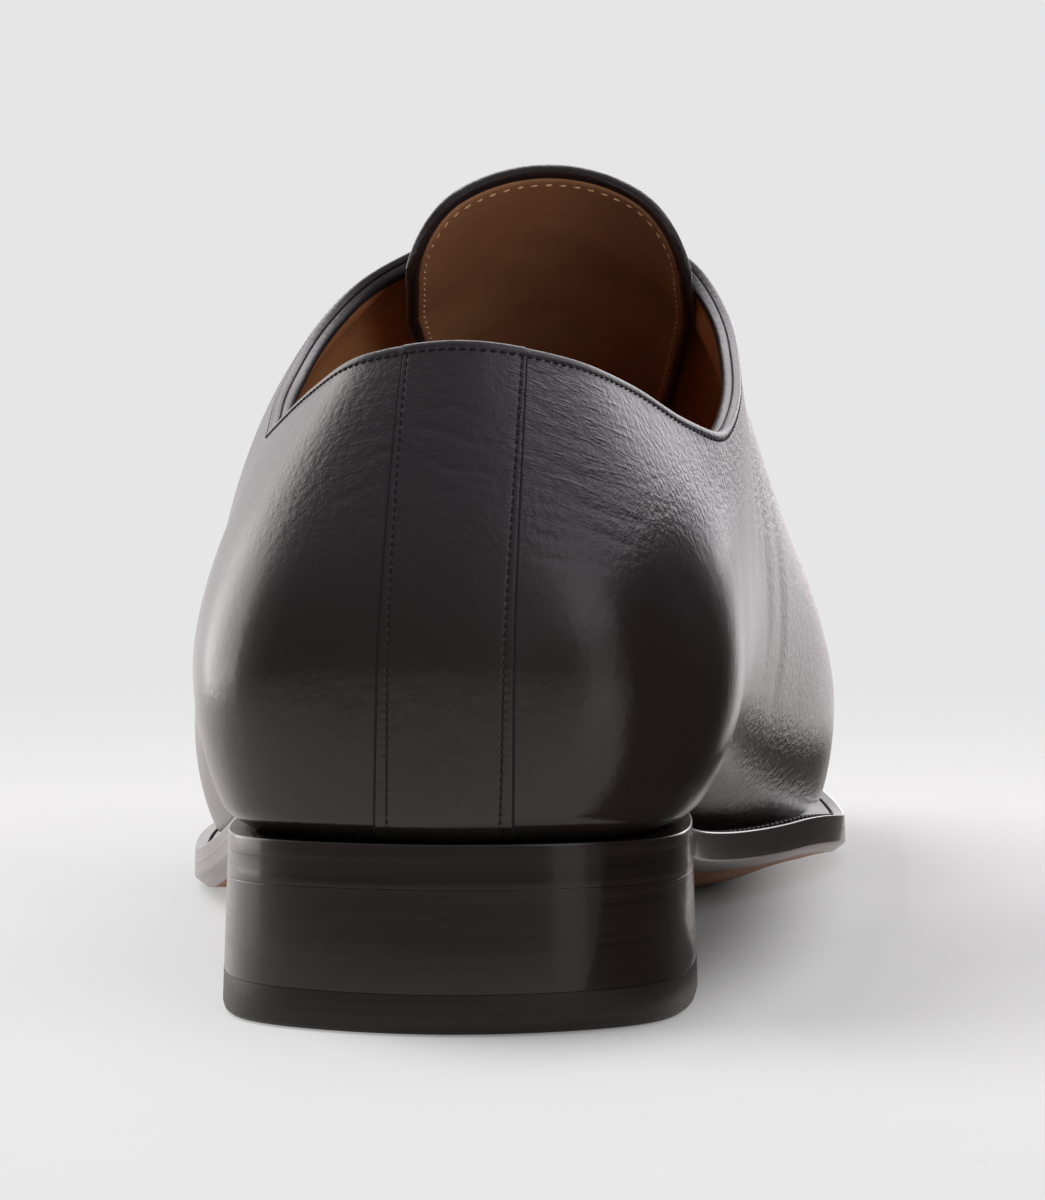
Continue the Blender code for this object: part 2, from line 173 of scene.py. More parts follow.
@dataclass(frozen=True)
class Last:
    """Surface of the last and the sole's line under it, worked out from the sections.

    Row numbers u run round the shoe: 0 at the heel's back, up to the toe tip down the outer side,
    and below 0 down the inner side. The height v runs from 0 at the feather edge, over the widest
    line at belly_share, to 1 at the top.
    """

    gap: float = 0.3
    wall: float = 2.0
    welt: float = 2.2
    outsole: float = 3.3
    seat_height: float = 24.4
    seat_slope: float = -0.036
    heel_breast: float = 72.0
    ball_rear: float = 182.0
    ball_front: float = 214.0
    toe_spring: float = 11.0
    length: float = 301.0
    lower_shoulder: float = 0.35
    rounding: float = 0.6
    belly_share: float = 0.36
    corner_round: float = 0.25
    corner_fade: Pair = (9.3, 10.6)
    corner_shares: Floats = (-1.0, -0.5, 0.0, 0.5, 1.0)
    corner_weights: Floats = (0.1, 0.24, 0.32, 0.24, 0.1)
    tuck_depth: float = 2.8
    tuck_share: float = 0.08
    inner_lift: float = 3.9
    lift_reach: Pair = (3.0, 16.0)
    lift_y: Triple = (112.0, 180.0, 240.0)
    step: float = 0.004

    def curve(self, names: Sequence[str], u: Array, flow: Flow) -> Array:
        """Closed cubic curve through the named columns of the sections.

        Args:
            names: Columns of Section.
            u: Row numbers, as a flat array.
            flow: SMOOTH solves for slopes that keep the curvature even over each row; FIRM takes
                the harmonic mean of the two steps beside a row, or 0 where they change sign.

        Returns:
            Values of shape (len(u), len(names)).
        """
        values = np.array([[getattr(row, name) for name in names] for row in ROWS], dtype=float)
        ahead = np.roll(values, -1, 0) - values
        behind = np.roll(ahead, 1, 0)
        if flow is Flow.SMOOTH:
            ring = np.eye(ROW_COUNT)
            ring = 4 * ring + np.roll(ring, 1, 0) + np.roll(ring, -1, 0)
            slopes = np.linalg.solve(ring, 3 * (ahead + behind))
        else:
            same = ahead * behind > 0
            slopes = np.where(same, 2 * ahead * behind / np.where(same, ahead + behind, 1.0), 0.0)
        low = np.floor(u).astype(int)
        t = (u - low)[:, None]
        first = low % ROW_COUNT
        second = (low + 1) % ROW_COUNT
        return ((1 + 2 * t) * (1 - t) ** 2 * values[first] + t * (1 - t) ** 2 * slopes[first]
                + t * t * (3 - 2 * t) * values[second] + t * t * (t - 1) * slopes[second])

    def seat_line(self, y: Array) -> Array:
        """Height of the sole's top at y.

        Returns:
            A straight heel seat, a cubic arch down to the ball, a flat ball and a squared toe
            spring.
        """
        ball = self.welt + self.gap + self.outsole
        span = self.ball_rear - self.heel_breast
        t = np.clip((y - self.heel_breast) / span, 0, 1)
        arch_top = self.seat_height + self.seat_slope * self.heel_breast
        arch = ((1 + 2 * t) * (1 - t) ** 2 * arch_top + t * (1 - t) ** 2 * self.seat_slope * span
                + t * t * (3 - 2 * t) * ball)
        spring = np.clip((y - self.ball_front) / (self.length - self.ball_front), 0, 1)
        seat = self.seat_height + self.seat_slope * y
        return np.where(y < self.heel_breast, seat, arch + self.toe_spring * spring ** 2)

    def outline(self, u: Array, inset: Array | float) -> Array:
        """Sole outline at row numbers u, moved inwards along its normal by inset, in plan."""
        names = ("x", "y")
        ahead = self.curve(names, u + self.step, Flow.SMOOTH)
        along = unit(ahead - self.curve(names, u - self.step, Flow.SMOOTH))
        inwards = np.stack([along[:, 1], -along[:, 0]], axis=1)
        return self.curve(names, u, Flow.SMOOTH) + inwards * np.reshape(inset, (-1, 1))

    def sole_height(self, plan: Array) -> Array:
        """Height of the sole's top at plan points, with a squared lift to the inner edge."""
        x, y = plan[..., 0], plan[..., 1]
        start, peak, end = self.lift_y
        along = hump((start, peak), (peak, end), y)
        edge = np.interp(y, [row.y for row in INNER_SIDE], [row.x for row in INNER_SIDE])
        full, none = self.lift_reach
        across = np.clip((none - edge + x) / (none - full), 0, 1)
        return self.seat_line(y) + self.inner_lift * along * across ** 2

    def at_sole(self, plan: Array, rise: Array | float) -> Array:
        """Plan points lifted to rise over the sole's top."""
        return np.column_stack([plan, self.sole_height(plan) + rise])

    def top(self, u: Array) -> Array:
        """Top line at row numbers u: rim, facing edges and ridge.

        The firm curve is averaged over corner_round rows to each side, so that the facing tops are
        rounded, except near the throat's end and on the ridge, where both sides meet.
        """
        names = ("top_x", "top_y", "top_z")
        w = np.abs((u + TOE_ROW) % ROW_COUNT - TOE_ROW)
        reach = self.corner_round * (1 - smooth_step(*self.corner_fade, w))
        spread = [self.curve(names, u + share * reach, Flow.FIRM) for share in self.corner_shares]
        line = np.tensordot(self.corner_weights, np.array(spread), axes=1)
        other = self.curve(names, ROW_COUNT - u, Flow.FIRM)
        return np.where((w > THROAT_END)[:, None], 0.5 * (line + other), line)

    def skin(self, u: Array, v: Array) -> Array:
        """Outer surface of the upper.

        Two cubic arcs make a section: from the feather edge out to the widest line, and from there
        over the shoulder to the top. Just above the feather edge the skin tucks in under itself.

        Args:
            u: Row numbers, in any shape.
            v: Heights, in the shape of u.

        Returns:
            Points, in the shape of u with a last axis of 3.
        """
        shape = np.shape(u)
        u, v = np.ravel(u), np.ravel(v)[:, None]
        margin, swell, belly_z = self.curve(("margin", "swell", "belly_z"), u, Flow.SMOOTH).T
        tuck = self.tuck_depth * np.clip(1 - v[:, 0] / self.tuck_share, 0, 1) ** 2
        feather = self.at_sole(self.outline(u, margin + tuck), self.gap)
        belly = np.column_stack([self.outline(u, margin - swell), belly_z])
        top = self.top(u)
        shoulder = self.curve(("shoulder",), u, Flow.FIRM)[:, 0]
        low = belly.copy()
        low[:, 2] = feather[:, 2] + self.lower_shoulder * (belly[:, 2] - feather[:, 2])
        high = belly.copy()
        high[:, 2] = belly[:, 2] + shoulder * (top[:, 2] - belly[:, 2])
        lower = self._arc(feather, low, belly, v / self.belly_share)
        upper = self._arc(belly, high, top, (v - self.belly_share) / (1 - self.belly_share))
        return np.where(v < self.belly_share, lower, upper).reshape(*shape, 3)

    def _arc(self, start: Array, corner: Array, end: Array, t: Array) -> Array:
        """Cubic arc from start to end that turns at corner, at the shares t."""
        first = start + self.rounding * (corner - start)
        second = end + self.rounding * (corner - end)
        return ((1 - t) ** 3 * start + 3 * t * (1 - t) ** 2 * first + 3 * t * t * (1 - t) * second
                + t ** 3 * end)

    def normals(self, u: Array, v: Array) -> Array:
        """Outward normals of the skin, from its differences along v and u."""
        high = np.minimum(v + self.step, 1.0)
        low = np.maximum(v - self.step, 0.0)
        inside = np.clip(v, 0.0, 1.0 - self.step)
        up = self.skin(u, high) - self.skin(u, low)
        along = self.skin(u + self.step, inside) - self.skin(u - self.step, inside)
        return unit(np.cross(up, along))

    def shift(self) -> Array:
        """Move from the last's own place to the frame's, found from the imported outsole's box."""
        ring = self.outline(np.linspace(0, ROW_COUNT, OUTLINE_SAMPLES), 0.0)
        own = 0.5 * (ring.min(axis=0) + ring.max(axis=0))
        low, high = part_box("outsole")
        packed = 0.5 * (np.array(low) + np.array(high)) / MM
        return np.array([packed[0] - own[0], packed[1] - own[1], 0.0])


LAST = Last()
SHIFT = LAST.shift()


@dataclass
class Patch:
    """Part of a mesh: points, quads between them, and what each quad and point wears.

    finish is the number of the material, fields are point values that a material reads, and flat
    holds rings of point numbers that are closed with one flat face each.
    """

    points: Array
    quads: Array
    finish: int = 0
    fields: dict[str, Array] = field(default_factory=dict)
    flat: list[Array] = field(default_factory=list)


def grid(points: Array, ring: bool = False, turn: bool = False, finish: int = 0,
         **fields: Array | float) -> Patch:
    """Quads over a grid of points.

    Args:
        points: Grid of shape (rows, columns, 3), whose faces look along rows x columns.
        ring: Whether the last row joins the first one.
        turn: Whether the faces look the other way.
        finish: Number of the material.
        **fields: Point values, of shape (rows, columns) or one number.

    Returns:
        The patch, with its points in row order.
    """
    rows, columns = points.shape[:2]
    number = np.arange(rows * columns).reshape(rows, columns)
    if ring:
        number = np.concatenate([number, number[:1]])
    low, high = number[:-1], number[1:]
    quads = np.stack([low[:, :-1], high[:, :-1], high[:, 1:], low[:, 1:]], axis=-1).reshape(-1, 4)
    flat_fields = {name: np.broadcast_to(value, (rows, columns)).ravel()
                   for name, value in fields.items()}
    return Patch(points.reshape(-1, 3), quads[:, ::-1] if turn else quads, finish, flat_fields)


def capped(patch: Patch, length: int) -> Patch:
    """A ring of rows, each of that length, closed with a flat face at both ends."""
    first = np.arange(0, len(patch.points), length)
    patch.flat = [first[::-1], first + length - 1]
    return patch


def many(points: Array) -> Patch:
    """Quads over many small grids, of shape (count, rows, columns, 3), with closed columns."""
    count, rows, columns = points.shape[:3]
    one = grid(np.concatenate([points[0], points[0][:, :1]], axis=1)).quads
    one = (one // (columns + 1)) * columns + one % (columns + 1) % columns
    quads = one[None] + (np.arange(count) * rows * columns)[:, None, None]
    return Patch(points.reshape(-1, 3), quads.reshape(-1, 4))


def make_piece(name: str, patches: Sequence[Patch], materials: Sequence[Material],
               replaces: Sequence[str] = ()) -> None:
    """Join patches into one piece, in its place in the frame, riding on the shoe's one body.

    Args:
        name: Name of the piece.
        patches: Its parts, in the last's millimetres.
        materials: Finishes, in the order of the patches' numbers.
        replaces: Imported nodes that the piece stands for.
    """
    starts = np.cumsum([0] + [len(patch.points) for patch in patches])
    points = (np.concatenate([patch.points for patch in patches]) + SHIFT) * MM
    quads = np.concatenate([patch.quads + start for patch, start in zip(patches, starts)])
    wears = [np.full(len(patch.quads), patch.finish) for patch in patches]
    flats = [(ring + start, patch.finish)
             for patch, start in zip(patches, starts) for ring in patch.flat]
    corners = np.concatenate([quads.ravel()] + [ring for ring, _ in flats])
    sizes = np.concatenate([np.full(len(quads), 4), [len(ring) for ring, _ in flats]]).astype(int)
    mesh = bpy.data.meshes.new(name)
    mesh.vertices.add(len(points))
    mesh.vertices.foreach_set("co", points.astype(np.float32).ravel())
    mesh.loops.add(len(corners))
    mesh.loops.foreach_set("vertex_index", corners.astype(np.int32))
    mesh.polygons.add(len(sizes))
    mesh.polygons.foreach_set("loop_start", (np.cumsum(sizes) - sizes).astype(np.int32))
    worn = np.concatenate(wears + [[finish for _, finish in flats]]).astype(np.int32)
    mesh.polygons.foreach_set("material_index", worn)
    mesh.update(calc_edges=True)
    for key in sorted({key for patch in patches for key in patch.fields}):
        values = [patch.fields.get(key, np.zeros(len(patch.points))) for patch in patches]
        layer = mesh.attributes.new(key, "FLOAT", "POINT")
        layer.data.foreach_set("value", np.concatenate(values).astype(np.float32))
    work = bmesh.new()
    work.from_mesh(mesh)
    bmesh.ops.remove_doubles(work, verts=work.verts, dist=WELD * MM)
    work.to_mesh(mesh)
    work.free()
    mesh.shade_smooth()
    mesh.set_sharp_from_angle(angle=SHARP_ANGLE)
    for material in materials:
        mesh.materials.append(material)
    piece = bpy.data.objects.new(name, mesh)
    bpy.context.scene.collection.objects.link(piece)
    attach(piece, BODY)
    if replaces:
        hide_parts(*replaces)
    mesh.calc_loop_triangles()
    LOG.info("%s: %d triangles", name, len(mesh.loop_triangles))


@dataclass(frozen=True)
class Thread:
    """Sewing thread: each stitch is a half-sunk grain, thick in the middle, pointed at the ends."""

    pitch: float = 1.35
    length: float = 1.05
    width: float = 0.36
    height: float = 0.22
    slant: float = 0.12
    rings: int = 7
    sides: int = 6
    start: float = 0.5
    end_gap: float = 0.4
    probe: float = 0.2

    def row(self, line: Array, normals: Array) -> Patch:
        """Stitches along a line on a surface.

        A stitch is a lengthwise grid: along it the radius follows sqrt(1 - a^2), and round it the
        points follow a circle that is flattened to the thread's width and height.

        Args:
            line: Points of the row, close together.
            normals: The surface's normals there.

        Returns:
            A patch with one small closed shape for each stitch.
        """
        run = arc_length(line)
        places = np.arange(self.start, run[-1] / self.pitch - self.end_gap) * self.pitch
        centre = resample(line, run, places)
        up = unit(resample(normals, run, places))
        ahead = resample(line, run, places + self.probe)
        along = unit(ahead - resample(line, run, places - self.probe))
        across = unit(np.cross(up, along))
        along = unit(along + self.slant * across)
        across = np.cross(up, along)
        a = np.linspace(-1, 1, self.rings)
        thick = np.sqrt(np.maximum(1 - a ** 2, 0))
        turn = -np.arange(self.sides) * 2 * np.pi / self.sides
        lengthwise = np.broadcast_to((0.5 * self.length * a)[:, None], (self.rings, self.sides))
        wide = 0.5 * self.width * thick[:, None] * np.cos(turn)
        tall = self.height * thick[:, None] * np.sin(turn)
        points = (centre[:, None, None] + lengthwise[None, ..., None] * along[:, None, None]
                  + wide[None, ..., None] * across[:, None, None]
                  + tall[None, ..., None] * up[:, None, None])
        return many(points)


def tube(line: Array, normals: Array, radius: Array | float, sides: int = 16) -> Patch:
    """Round cord along a line, closed at both ends, with its run and its turn as fields.

    Args:
        line: Points of its middle, close together.
        normals: A direction across the line at each point.
        radius: Its radius, at each point or throughout.
        sides: Points round it.

    Returns:
        A closed patch: a circle of that radius carried along the line, shrunk to its middle at
        the ends.
    """
    run = arc_length(line)
    along = unit(np.gradient(line, axis=0))
    side = unit(np.cross(normals, along))
    up = np.cross(along, side)
    wide = np.broadcast_to(radius, len(line)).astype(float).copy()
    wide[[0, -1]] = 0.0
    turn = np.linspace(0, 2 * np.pi, sides + 1)
    circle = np.cos(turn)[:, None, None] * side + np.sin(turn)[:, None, None] * up
    points = line + circle * wide[:, None]
    return grid(points, cord_run=run, cord_turn=(turn / (2 * np.pi))[:, None])


class Graph:
    """Adds and links shader nodes in one node tree."""

    def __init__(self, tree: bpy.types.NodeTree) -> None:
        """Work on the given tree."""
        self.tree = tree

    def node(self, kind: str, **settings: object) -> bpy.types.Node:
        """Add a node of the given kind and set its properties."""
        made = self.tree.nodes.new(kind)
        for name, value in settings.items():
            setattr(made, name, value)
        return made

    def feed(self, target: Socket, value: object) -> None:
        """Link a socket to the target, or set the target's own value."""
        if isinstance(value, Socket):
            self.tree.links.new(value, target)
        else:
            target.default_value = value

    def place(self) -> Socket:
        """Object coordinates, in metres of the frame."""
        return self.node("ShaderNodeTexCoord").outputs["Object"]

    def stretched(self, vector: Socket, scale: Triple) -> Socket:
        """A vector scaled along each axis."""
        made = self.node("ShaderNodeMapping")
        self.feed(made.inputs["Vector"], vector)
        made.inputs["Scale"].default_value = scale
        return made.outputs["Vector"]

    def point_value(self, name: str) -> Socket:
        """A point value of the mesh."""
        return self.node("ShaderNodeAttribute", attribute_name=name).outputs["Fac"]

    def paired(self, first: str, second: str) -> Socket:
        """Vector whose X and Z are two point values."""
        made = self.node("ShaderNodeCombineXYZ")
        self.feed(made.inputs["X"], self.point_value(first))
        self.feed(made.inputs["Z"], self.point_value(second))
        return made.outputs[0]

    def noise(self, vector: Socket, scale: object, detail: float = 2.0,
              roughness: float = 0.5) -> Socket:
        """Soft noise around one half."""
        made = self.node("ShaderNodeTexNoise")
        self.feed(made.inputs["Vector"], vector)
        self.feed(made.inputs["Scale"], scale)
        made.inputs["Detail"].default_value = detail
        made.inputs["Roughness"].default_value = roughness
        return made.outputs[0]

    def cells(self, vector: Socket, scale: object, feature: str = "F1") -> Socket:
        """Distance in a field of random cells."""
        made = self.node("ShaderNodeTexVoronoi", feature=feature)
        self.feed(made.inputs["Vector"], vector)
        self.feed(made.inputs["Scale"], scale)
        return made.outputs["Distance"]

    def sum(self, kind: str, *values: object) -> Socket:
        """One step of arithmetic, such as ADD, MULTIPLY or SINE."""
        made = self.node("ShaderNodeMath", operation=kind)
        for target, value in zip(made.inputs, values):
            self.feed(target, value)
        return made.outputs[0]

    def weighted(self, first: Socket, second: Socket, shares: Pair) -> Socket:
        """Two values added, each times its share."""
        parts = [self.sum("MULTIPLY", *pair) for pair in zip((first, second), shares)]
        return self.sum("ADD", *parts)

    def spread(self, value: Socket, old: Pair, new: Pair) -> Socket:
        """A value moved from one range to another, and kept in it."""
        made = self.node("ShaderNodeMapRange")
        self.feed(made.inputs["Value"], value)
        made.inputs["From Min"].default_value, made.inputs["From Max"].default_value = old
        made.inputs["To Min"].default_value, made.inputs["To Max"].default_value = new
        return made.outputs[0]

    def blend(self, share: object, first: object, second: object) -> Socket:
        """Colour between two colours."""
        made = self.node("ShaderNodeMix", data_type="RGBA")
        self.feed(made.inputs[0], share)
        self.feed(made.inputs[6], first)
        self.feed(made.inputs[7], second)
        return made.outputs[2]

    def relief(self, height: Socket, depth: float, under: Socket | None = None) -> Socket:
        """Normal of a surface whose height field is depth millimetres deep."""
        made = self.node("ShaderNodeBump")
        made.inputs["Distance"].default_value = depth * MM
        self.feed(made.inputs["Height"], height)
        if under is not None:
            self.feed(made.inputs["Normal"], under)
        return made.outputs["Normal"]

    def group(self, tree: bpy.types.NodeTree, **values: object) -> bpy.types.NodeOutputs:
        """Place a node group with the given inputs, and return its outputs."""
        made = self.node("ShaderNodeGroup", node_tree=tree)
        for name, value in values.items():
            self.feed(made.inputs[name], value)
        return made.outputs


class Effects:
    """Surface effects that several finishes share, each a node group that is built once."""

    WARP_SCALE = 420.0
    WARP_SHARE = 0.12
    PORE_SCALE = 2.3
    PEBBLE_SHARES = (-0.7, -0.3)
    TONE_NOISE = (55.0, 4.0, 0.6)
    COARSE_STRETCH = (14.0, 14.0, 900.0)
    FINE_STRETCH = (40.0, 40.0, 3200.0)
    STREAK_SHARES = (0.55, 0.45)
    STREAK_RANGE = (0.35, 0.68)
    STREAK_ROUGHNESS = 0.6

    def __init__(self) -> None:
        """Build the groups."""
        self.grain = self._grain()
        self.streaks = self._streaks()

    @staticmethod
    def _start(name: str, inputs: Sequence[str], outputs: Sequence[str]) -> tuple[
            Graph, bpy.types.NodeOutputs, bpy.types.NodeInputs]:
        """New group with a Vector input and the named values, and its inner ends."""
        tree = bpy.data.node_groups.new(name, "ShaderNodeTree")
        tree.interface.new_socket("Vector", in_out="INPUT", socket_type="NodeSocketVector")
        for key in inputs:
            tree.interface.new_socket(key, in_out="INPUT", socket_type="NodeSocketFloat")
        for key in outputs:
            tree.interface.new_socket(key, in_out="OUTPUT", socket_type="NodeSocketFloat")
        graph = Graph(tree)
        return graph, graph.node("NodeGroupInput").outputs, graph.node("NodeGroupOutput").inputs

    def _grain(self) -> bpy.types.NodeTree:
        """Leather grain: rounded pebbles with fine pores between them, and a slow tone."""
        graph, given, out = self._start("leather_grain", ("Pebbles",), ("Height", "Tone"))
        warp = graph.noise(given["Vector"], self.WARP_SCALE)
        pebble = graph.cells(given["Vector"], given["Pebbles"], "SMOOTH_F1")
        finer = graph.sum("MULTIPLY", given["Pebbles"], self.PORE_SCALE)
        small = graph.cells(given["Vector"], finer)
        height = graph.weighted(pebble, small, self.PEBBLE_SHARES)
        graph.feed(out["Height"], graph.weighted(height, warp, (1.0, self.WARP_SHARE)))
        graph.feed(out["Tone"], graph.noise(given["Vector"], *self.TONE_NOISE))
        return graph.tree

    def _streaks(self) -> bpy.types.NodeTree:
        """Trimmed leather edge: long level streaks where layers of fibre were pared and waxed."""
        graph, given, out = self._start("edge_streaks", ("Fineness",), ("Height", "Tone"))
        flat = graph.stretched(given["Vector"], self.COARSE_STRETCH)
        fine = graph.stretched(given["Vector"], self.FINE_STRETCH)
        coarse = graph.noise(flat, 1.0, 3.0, self.STREAK_ROUGHNESS)
        thin = graph.noise(fine, given["Fineness"], 2.0, self.STREAK_ROUGHNESS)
        graph.feed(out["Height"], graph.weighted(coarse, thin, self.STREAK_SHARES))
        graph.feed(out["Tone"], graph.spread(coarse, self.STREAK_RANGE, FULL))
        return graph.tree


Colour = tuple[float, float, float, float]
Colours = tuple[Colour, Colour]


def rgb(red: float, green: float, blue: float) -> Colour:
    """Opaque colour from its three parts."""
    return red, green, blue, 1.0


@dataclass(frozen=True)
class Finish:
    """What every finish has: a name, and a shader whose constants sit on its own sockets."""

    name: str
    coat: float = 0.0
    coat_roughness: float = 0.1
    ior: float = 1.5

    def start(self) -> tuple[Material, Graph, bpy.types.NodeInputs]:
        """New material, its graph and its shader's inputs."""
        material = bpy.data.materials.new(self.name)
        material.use_nodes = True
        shader = material.node_tree.nodes["Principled BSDF"].inputs
        shader["Coat Weight"].default_value = self.coat
        shader["Coat Roughness"].default_value = self.coat_roughness
        shader["IOR"].default_value = self.ior
        return material, Graph(material.node_tree), shader


@dataclass(frozen=True)
class TonedFinish(Finish):
    """A finish whose colour and roughness run from a first value to a second one with one tone."""

    colours: Colours = (rgb(0.0, 0.0, 0.0), rgb(1.0, 1.0, 1.0))
    roughness: Pair = FULL
    depth: float = 0.05

    def dress(self, graph: Graph, shader: bpy.types.NodeInputs, tone: Socket,
              height: Socket) -> None:
        """Feed the tone to the shader's colour and roughness, and the height to its normal."""
        graph.feed(shader["Base Color"], graph.blend(tone, *self.colours))
        graph.feed(shader["Roughness"], graph.spread(tone, FULL, self.roughness))
        graph.feed(shader["Normal"], graph.relief(height, self.depth))


@dataclass(frozen=True)
class CalfFinish(Finish):
    """Polished calf: glossy and brown-black low on the shoe, softer and blue-black at the collar.

    The mesh gives polish, which is 1 where the leather is boned smooth, pebble, which is 1 where
    its grain shows most, and folds, which is 1 where fine wrinkles run along fold_along.
    """

    name: str = "black_calf"
    coat: float = 0.05
    coat_roughness: float = 0.15
    polished: Colour = rgb(0.0120, 0.0082, 0.0076)
    soft: Colour = rgb(0.0135, 0.0112, 0.0138)
    gloss: Pair = (0.38, 0.20)
    pebbles: float = 1050.0
    depth: float = 0.20
    fold_depth: float = 0.22
    waviness: float = 150.0
    wave_depth: float = 0.09
    unevenness: Pair = (-0.12, 0.12)
    least_grain: float = 0.10
    fold_noise: Triple = (1.0, 2.0, 0.45)
    fold_cut: float = 2.2

    def material(self, effects: Effects) -> Material:
        """Build the material."""
        material, graph, shader = self.start()
        place = graph.place()
        polish = graph.point_value("polish")
        grain = graph.group(effects.grain, Vector=place, Pebbles=self.pebbles)
        uneven = graph.spread(grain["Tone"], NOISE_RANGE, self.unevenness)
        share = graph.sum("ADD", polish, uneven)
        graph.feed(shader["Base Color"], graph.blend(share, self.soft, self.polished))
        graph.feed(shader["Roughness"], graph.spread(share, FULL, self.gloss))
        shows = graph.spread(graph.point_value("pebble"), FULL, (self.least_grain, 1.0))
        waves = graph.noise(graph.paired("fold_along", "fold_across"), *self.fold_noise)
        cuts = graph.sum("ABSOLUTE", graph.sum("SUBTRACT", waves, 0.5))
        wrinkles = graph.sum("MULTIPLY_ADD", cuts, self.fold_cut, waves)
        folds = graph.sum("MULTIPLY", wrinkles, graph.point_value("folds"))
        uneven_skin = graph.relief(graph.noise(place, self.waviness), self.wave_depth)
        folded = graph.relief(folds, self.fold_depth, uneven_skin)
        pebbled = graph.sum("MULTIPLY", grain["Height"], shows)
        graph.feed(shader["Normal"], graph.relief(pebbled, self.depth, folded))
        return material


@dataclass(frozen=True)
class LiningFinish(TonedFinish):
    """Vegetable tan lining leather: matt, mottled, with small pores."""

    name: str = "tan_lining"
    colours: Colours = (rgb(0.58, 0.28, 0.125), rgb(0.42, 0.195, 0.088))
    roughness: Pair = (0.42, 0.6)
    pores: float = 1900.0
    mottle: Pair = (0.3, 0.72)

    def material(self, effects: Effects) -> Material:
        """Build the material."""
        material, graph, shader = self.start()
        place = graph.place()
        grain = graph.group(effects.grain, Vector=place, Pebbles=self.pores)
        tone = graph.spread(grain["Tone"], self.mottle, FULL)
        self.dress(graph, shader, tone, grain["Height"])
        return material


@dataclass(frozen=True)
class EdgeFinish(TonedFinish):
    """Trimmed leather edge, inked black-brown and waxed, with level streaks."""

    name: str = "edge_dressing"
    coat: float = 0.35
    coat_roughness: float = 0.09
    ior: float = 1.35
    colours: Colours = (rgb(0.0066, 0.0048, 0.0042), rgb(0.0120, 0.0085, 0.0068))
    roughness: Pair = (0.21, 0.29)
    depth: float = 0.004
    fineness: float = 1.0

    def material(self, effects: Effects) -> Material:
        """Build the material."""
        material, graph, shader = self.start()
        place = graph.paired("edge_run", "edge_rise")
        streaks = graph.group(effects.streaks, Vector=place, Fineness=self.fineness)
        self.dress(graph, shader, streaks["Tone"], streaks["Height"])
        return material


@dataclass(frozen=True)
class SoleFinish(TonedFinish):
    """Brown sole leather: buffed, with slow clouds, short scratches and open pores."""

    name: str = "sole_leather"
    ior: float = 1.3
    colours: Colours = (rgb(0.32, 0.140, 0.060), rgb(0.20, 0.080, 0.034))
    roughness: Pair = (0.36, 0.55)
    pores: float = 1300.0
    scratch: Triple = (900.0, 45.0, 300.0)
    shares: Pair = (0.7, 0.3)
    clouds: Pair = (0.32, 0.68)

    def material(self, effects: Effects) -> Material:
        """Build the material."""
        material, graph, shader = self.start()
        place = graph.place()
        grain = graph.group(effects.grain, Vector=place, Pebbles=self.pores)
        scratch = graph.noise(graph.stretched(place, self.scratch), 1.0)
        mixed = graph.weighted(grain["Tone"], scratch, self.shares)
        self.dress(graph, shader, graph.spread(mixed, self.clouds, FULL), grain["Height"])
        return material


@dataclass(frozen=True)
class RubberFinish(Finish):
    """Dull black rubber with a fine moulded tooth."""

    name: str = "top_rubber"
    ior: float = 1.38
    light: Colour = rgb(0.0120, 0.0096, 0.0084)
    dark: Colour = rgb(0.0070, 0.0058, 0.0052)
    roughness: Pair = (0.34, 0.50)
    depth: float = 0.025
    fineness: float = 0.6
    tooth: float = 2600.0
    streak_share: float = 0.5

    def material(self, effects: Effects) -> Material:
        """Build the material."""
        material, graph, shader = self.start()
        place = graph.place()
        streaks = graph.group(effects.streaks, Vector=place, Fineness=self.fineness)
        tooth = graph.noise(place, self.tooth)
        graph.feed(shader["Base Color"], graph.blend(streaks["Tone"], self.dark, self.light))
        graph.feed(shader["Roughness"], graph.spread(tooth, NOISE_RANGE, self.roughness))
        height = graph.weighted(tooth, streaks["Height"], (1.0, self.streak_share))
        graph.feed(shader["Normal"], graph.relief(height, self.depth))
        return material


@dataclass(frozen=True)
class ThreadFinish(TonedFinish):
    """Twisted sewing thread, waxed dull."""

    ior: float = 1.28
    colours: Colours = (rgb(0.004, 0.004, 0.005), rgb(0.012, 0.011, 0.014))
    roughness: Pair = (0.5, 0.7)
    twist: float = 4200.0

    def material(self, effects: Effects) -> Material:
        """Build the material, whose twist is a fine noise across the thread."""
        material, graph, shader = self.start()
        twist = graph.noise(graph.place(), self.twist, 1.0)
        self.dress(graph, shader, graph.spread(twist, NOISE_RANGE, FULL), twist)
        return material


